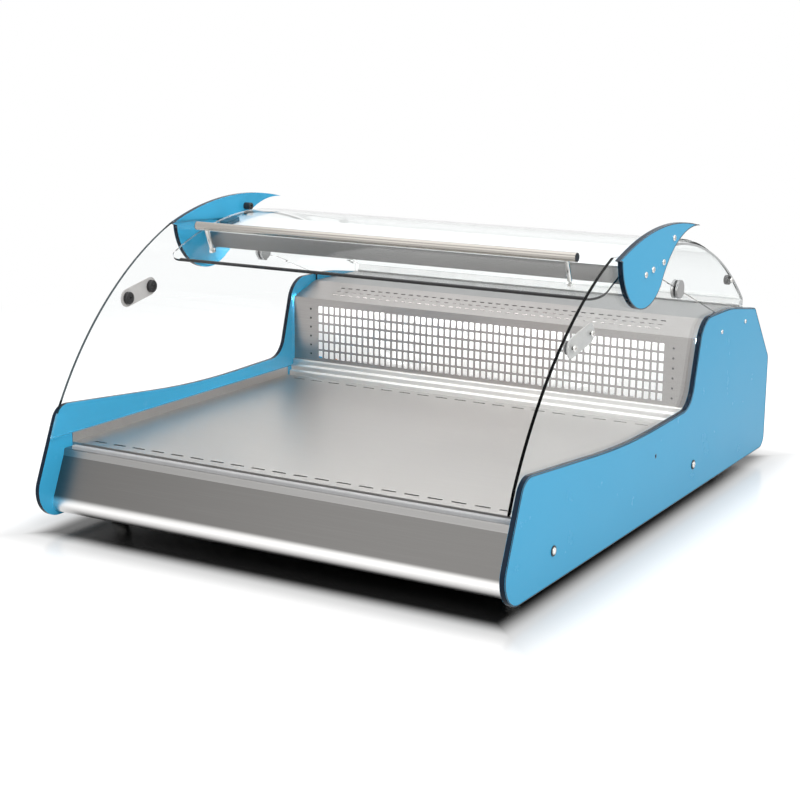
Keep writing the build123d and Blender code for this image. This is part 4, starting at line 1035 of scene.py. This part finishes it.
# %% Lock nuts on the feet
nut_radius = 0.0165
nut_height = 0.007
nut_corner = 0.0012
nut_wall = 0.0022
nut_rim = 0.0136
nut_chamfer = 0.0007
nut_seat = 0.0225
foot_columns = (-0.43, 0.43)
foot_depths = (-0.477, 0.537)
nut = standing_disc(6, nut_radius, nut_height)
round_corners(nut, nut_height, nut_corner, segments=3)
bore_through(nut, nut_wall)
pick_edges(nut, lambda a, b: abs(a.z - b.z) < nut_chamfer and min(a.xy.length, b.xy.length) > nut_rim)
bpy.ops.mesh.bevel(offset=nut_chamfer, segments=2)
bpy.ops.object.mode_set(mode="OBJECT")
nut_places = [Matrix.Translation((x, y, nut_seat)) for x in foot_columns for y in foot_depths]
dress(join_up(set_out(nut, nut_places), "foot_lock_nuts"), polished_steel)

# %% [markdown]
# The perforated wall has a column of small holes at each end, where it is clamped. Behind each column
# lies a dark clamping strip, so no light comes through there. Filling the holes would change the frame's
# wall, so the strip is a piece of its own: a flat bar with its corners rounded, straight against the
# wall's back.

# %% Clamping strips behind the wall
clamp_width = 0.014
clamp_height = 0.122
clamp_thick = 0.002
clamp_round = 0.3
clamp_middle = 0.263
end_hole_x = 0.4384
clamp_bar = flat_bar(clamp_width, clamp_height, clamp_thick, clamp_width * clamp_round, segments=4)
wall_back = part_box("back_grille")[1][1]
clamp_places = [on_rear(side * end_hole_x, wall_back, clamp_middle) for side in (1, -1)]
dress(join_up(set_out(clamp_bar, clamp_places), "wall_clamp_strips"), black_nylon)

# %% [markdown]
# The arrises of the blue boards are worn down to the dark core, so a thin dark line runs right round
# their outer faces. A mask can't follow such an outline by a formula, but an inset can: the board's node
# is copied, all but its outer face is deleted, the face is inset, and the inset middle is deleted too.
# The ring that is left gets a wall a tenth of a millimetre thick.

# %% Dark arrises of the boards
arris_width = 0.0018
arris_thick = 0.0001
board_face = 0.4995
weld_gap = 0.00001
outwards = 1.0
arrises = []
for name in ("right_side_panel", "left_side_panel", "right_fin", "left_fin"):
    arris = own_copy(nodes[name])
    pick_faces(arris, lambda centre, normal: abs(centre.x) < board_face or abs(normal.x) < nearly)
    bpy.ops.mesh.delete(type="FACE")
    bpy.ops.mesh.select_all(action="SELECT")
    bpy.ops.mesh.remove_doubles(threshold=weld_gap)
    bpy.ops.mesh.inset(thickness=arris_width)
    bpy.ops.mesh.delete(type="FACE")
    bpy.ops.object.mode_set(mode="OBJECT")
    give_wall(arris, arris_thick, outwards)
    arrises.append(arris)
arris_dark = moulded_finish("arris_dark", board_core, low=0.3, high=0.4, grain_scale=600.0)
dress(join_up(arrises, "board_arrises"), arris_dark)

# %% [markdown]
# A soft grey trim caps the curved top edge of each rear pane, where the cover glides past, and folds
# down over the pane's outer face. It could be a curve with a profile, but it is plainer as thin slices
# of cap and fold that are spun about the roll axis: a slice's rear face is swept along, and the swept
# shape gets its doubles merged and its normals recalculated.

# %% Trims on the rear panes
slice_thick = 0.0004
spin_weld = 0.000001
trim_start = -4.6
trim_end = 41.0
cap_inner = 0.4838
fold_inner = 0.48975
trim_outer = 0.4904
fold_foot = 0.659
cap_foot = 0.66205
cap_top = 0.6634
trim_cap = (cap_inner, trim_outer, cap_foot, cap_top)
trim_fold = (fold_inner, trim_outer, fold_foot, cap_foot)


def round_trim(near, far, low, high):
    """Strip between two radii about the roll axis; its angles count from upright, rearward positive."""
    trim = start_mesh(bpy.ops.mesh.primitive_cube_add, size=1.0,
                      location=((near + far) / 2, 0, (low + high) / 2),
                      scale=(abs(far - near), slice_thick, high - low))
    lean = math.radians(trim_start)
    trim.matrix_world = Matrix.Translation(roll_axis) @ Matrix.Rotation(-lean, 4, "X")
    bpy.ops.object.transform_apply(location=True, rotation=True, scale=True)
    rearward = Vector((0, math.cos(lean), -math.sin(lean)))
    pick_faces(trim, lambda centre, normal: normal.dot(rearward) > nearly)
    sweep = math.radians(trim_end - trim_start)
    bpy.ops.mesh.spin(steps=48, angle=sweep, center=roll_axis, axis=(1, 0, 0))
    bpy.ops.mesh.select_all(action="SELECT")
    bpy.ops.mesh.remove_doubles(threshold=spin_weld)
    bpy.ops.mesh.normals_make_consistent(inside=False)
    bpy.ops.object.mode_set(mode="OBJECT")
    return trim


trim_grey = moulded_finish("trim_grey", (0.45, 0.46, 0.46), low=0.4, high=0.5, grain_scale=600.0)
rear_trims = []
for side in (1, -1):
    for near, far, low, high in (trim_cap, trim_fold):
        rear_trims.append(round_trim(side * near, side * far, low, high))
dress(join_up(rear_trims, "rear_pane_trims"), trim_grey)

# %% [markdown]
# The cover's front edge carries a dark strip. The edge is straight, so nothing has to be swept along it:
# the strip is a bar with its long edges rounded, turned to the edge's own angle about the roll axis. It
# rides with the cover.

# %% Strip on the cover's front edge
trim_black = moulded_finish("trim_black", (0.01, 0.01, 0.011), low=0.3, high=0.4, grain_scale=600.0)
strip_half = 0.447
strip_width = 0.0046
strip_thick = 0.006
strip_round = 0.0012
strip_angle = math.radians(26.42)
cover_radius = 0.668
strip = start_mesh(bpy.ops.mesh.primitive_cube_add, size=1.0,
                   scale=(2 * strip_half, strip_width, strip_thick))
pick_edges(strip, lambda a, b: abs(a.x - b.x) > strip_half)
bpy.ops.mesh.bevel(offset=strip_round, segments=3)
bpy.ops.object.mode_set(mode="OBJECT")
strip_place = (Matrix.Translation(roll_axis) @ Matrix.Rotation(strip_angle, 4, "X")
               @ Matrix.Translation((0, 0, cover_radius)))
dress(join_up(set_out(strip, [strip_place]), "cover_edge_strip"), trim_black, "roll_cover")

# %% [markdown]
# ## Smooth shading
#
# Round pieces come in as flat triangles. Smoothing by angle makes tubes and discs round and keeps the
# folds of the sheet sharp, without moving a single point. Where sheet is bent to a radius, a flat would
# borrow some of the bend's shading, so on those pieces the normals are weighted by the size of the
# faces.

# %% Shade the round pieces smooth
bpy.ops.object.select_all(action="DESELECT")
for piece in nodes.values():
    piece.select_set(True)
bpy.context.view_layer.objects.active = nodes["cover_sheet"]
bpy.ops.object.shade_smooth_by_angle(angle=smooth_angle)
print(len(nodes), "nodes smoothed")

# %% Keep the flats of bent sheet flat
flat_weight = 100
sheet_pieces = ("lamp_canopy", "front_apron", "display_deck", "well_tub", "rear_ledge", "back_grille",
                "duct_top", "top_cover", "control_panel", "rear_panel", "base_pan")
for name in sheet_pieces:
    pick_only(nodes[name])
    bpy.ops.object.modifier_add(type="WEIGHTED_NORMAL")
    weigh = nodes[name].modifiers[-1]
    weigh.keep_sharp = True
    weigh.weight = flat_weight
    bpy.ops.object.modifier_apply(modifier=weigh.name)
bpy.ops.object.select_all(action="DESELECT")
print(len(sheet_pieces), "sheet pieces with weighted normals")

# %% [markdown]
# ## The studio
#
# The case stands on a white sweep. Near it the floor is a pale, slightly glossy surface that takes the
# shadow, deepest right under the case, where the glow of the sweep doesn't reach. Further out it fades
# into plain white, so that no horizon shows. Mirrors and glass see the same white, because the glow
# answers to glossy and transmitted rays as well as to the camera's own.

# %% Floor
floor_size = 30.0
pale_floor = (0.45, 0.45, 0.45)
bpy.ops.mesh.primitive_plane_add(size=floor_size, location=(0.0, 0.0, 0.0))
floor = bpy.context.object
floor.name = "studio_floor"
floor_finish, tree, matt = new_finish("studio_floor", pale_floor, roughness=0.18, Specular_IOR_Level=0.25)
paint(floor, floor_finish)
print(floor.name, floor_size, "m wide")

# %% [markdown]
# The lamps alone would leave the shadow too pale on so bright a floor. How far a point lies outside the
# case's outline deepens it: a steep rim under the edge and a wide faint fringe beyond.

# %% Shadow of the case
dark_floor = (0.01, 0.01, 0.01)
half_width = 0.5
half_depth = 0.647
rim_step = (-0.03, 0.025)
rim_share = 0.6
fringe_step = (0.0, 0.14)
fringe_share = 0.4

place = place_axes(tree)
past_side = math_node(tree, "SUBTRACT", math_node(tree, "ABSOLUTE", place["X"]), half_width)
past_end = math_node(tree, "SUBTRACT", math_node(tree, "ABSOLUTE", place["Y"]), half_depth)
outside = math_node(tree, "MAXIMUM", past_side, past_end)
shadow_rim = math_node(tree, "MULTIPLY", smooth_step(tree, outside, *rim_step), rim_share)
shadow_fringe = math_node(tree, "MULTIPLY", smooth_step(tree, outside, *fringe_step), fringe_share)
open_floor = math_node(tree, "ADD", shadow_rim, shadow_fringe)
tree.links.new(mixed_colour(tree, open_floor, dark_floor, pale_floor), matt.inputs["Base Color"])
print("shadow from", rim_step[0], "to", fringe_step[1], "m outside the outline")

# %% [markdown]
# The open floor glows, so that it reaches white. A brighter colour alone couldn't do that without more
# light on the case too. Only what is seen takes part in the glow, and for mirrors it starts a little
# further in under the case.

# %% Glow of the floor
mirror_step = (-0.06, -0.01)
floor_glow = 0.62


def seen_ray(tree):
    """1 for rays that reach the eye straight, by a mirror or through glass."""
    path = tree.nodes.new("ShaderNodeLightPath")
    first = math_node(tree, "MAXIMUM", path.outputs["Is Camera Ray"], path.outputs["Is Glossy Ray"])
    return math_node(tree, "MAXIMUM", first, path.outputs["Is Transmission Ray"])


mirrored = tree.nodes.new("ShaderNodeLightPath").outputs["Is Glossy Ray"]
mirror_share = math_node(tree, "MULTIPLY", smooth_step(tree, outside, *mirror_step), mirrored)
glow = math_node(tree, "MULTIPLY", math_node(tree, "MAXIMUM", open_floor, mirror_share), floor_glow)
near_glow = tree.nodes.new("ShaderNodeEmission")
tree.links.new(math_node(tree, "MULTIPLY", seen_ray(tree), glow), near_glow.inputs["Strength"])
near = tree.nodes.new("ShaderNodeAddShader")
tree.links.new(matt.outputs[0], near.inputs[0])
tree.links.new(near_glow.outputs[0], near.inputs[1])
print("glow of the floor", floor_glow)

# %% [markdown]
# A bent backdrop suits one view only. This case is seen from all sides, so the floor itself turns to
# plain white by its distance from the middle.

# %% Sweep into plain white
far_ambient = 0.6
fade_start = 1.0
fade_end = 2.6


def seen_white(tree, dimmed):
    """1 for rays that are seen and a dimmer value for the light on the case."""
    lift = math_node(tree, "MULTIPLY", seen_ray(tree), 1.0 - dimmed)
    return math_node(tree, "ADD", lift, dimmed)


far = tree.nodes.new("ShaderNodeEmission")
tree.links.new(seen_white(tree, far_ambient), far.inputs["Strength"])
reach = tree.nodes.new("ShaderNodeVectorMath")
reach.operation = "LENGTH"
tree.links.new(object_place(tree), reach.inputs[0])
sweep = tree.nodes.new("ShaderNodeMixShader")
tree.links.new(smooth_step(tree, reach.outputs["Value"], fade_start, fade_end), sweep.inputs[0])
tree.links.new(near.outputs[0], sweep.inputs[1])
tree.links.new(far.outputs[0], sweep.inputs[2])
tree.links.new(sweep.outputs[0], tree.nodes["Material Output"].inputs["Surface"])
print("floor fades to white from", fade_start, "to", fade_end, "m")

# %% [markdown]
# The world is plain white to the eye, to mirrors and through glass. As a light it is dimmer, because a
# fully white world would wash out the shadows.

# %% Surroundings
ambient = 0.62
world = bpy.data.worlds.new("studio_white")
bpy.context.scene.world = world
world.use_nodes = True
tree = world.node_tree
backdrop = tree.nodes["Background"]
backdrop.inputs["Color"].default_value = (*white_light, 1.0)
tree.links.new(seen_white(tree, ambient), backdrop.inputs["Strength"])
print(world.name, "with ambient light", ambient)

# %% [markdown]
# Three large lamps give soft shadows: a key from the right, a weak fill from the left and a wide one
# overhead. A sun would draw hard edges, so they are square areas, each turned to the middle of the case.

# %% Soft lamps
lamp_aim = Vector((0.0, 0.0, 0.3))
lamps = (
    ("key_lamp", (2.4, -2.6, 3.0), 2.2, 85.0),
    ("fill_lamp", (-1.3, -3.8, 1.7), 2.4, 16.0),
    ("top_lamp", (0.0, 0.4, 3.6), 5.0, 90.0),
)
for name, stand, size, power in lamps:
    bpy.ops.object.light_add(type="AREA", location=stand)
    lamp = bpy.context.object
    lamp.name = name
    lamp.data.shape = "SQUARE"
    lamp.data.size = size
    lamp.data.energy = power
    direction = lamp_aim - Vector(stand)
    lamp.rotation_euler = direction.to_track_quat("-Z", "Y").to_euler()
    print(name, power, "W")
bpy.context.scene.view_settings.view_transform = "Standard"
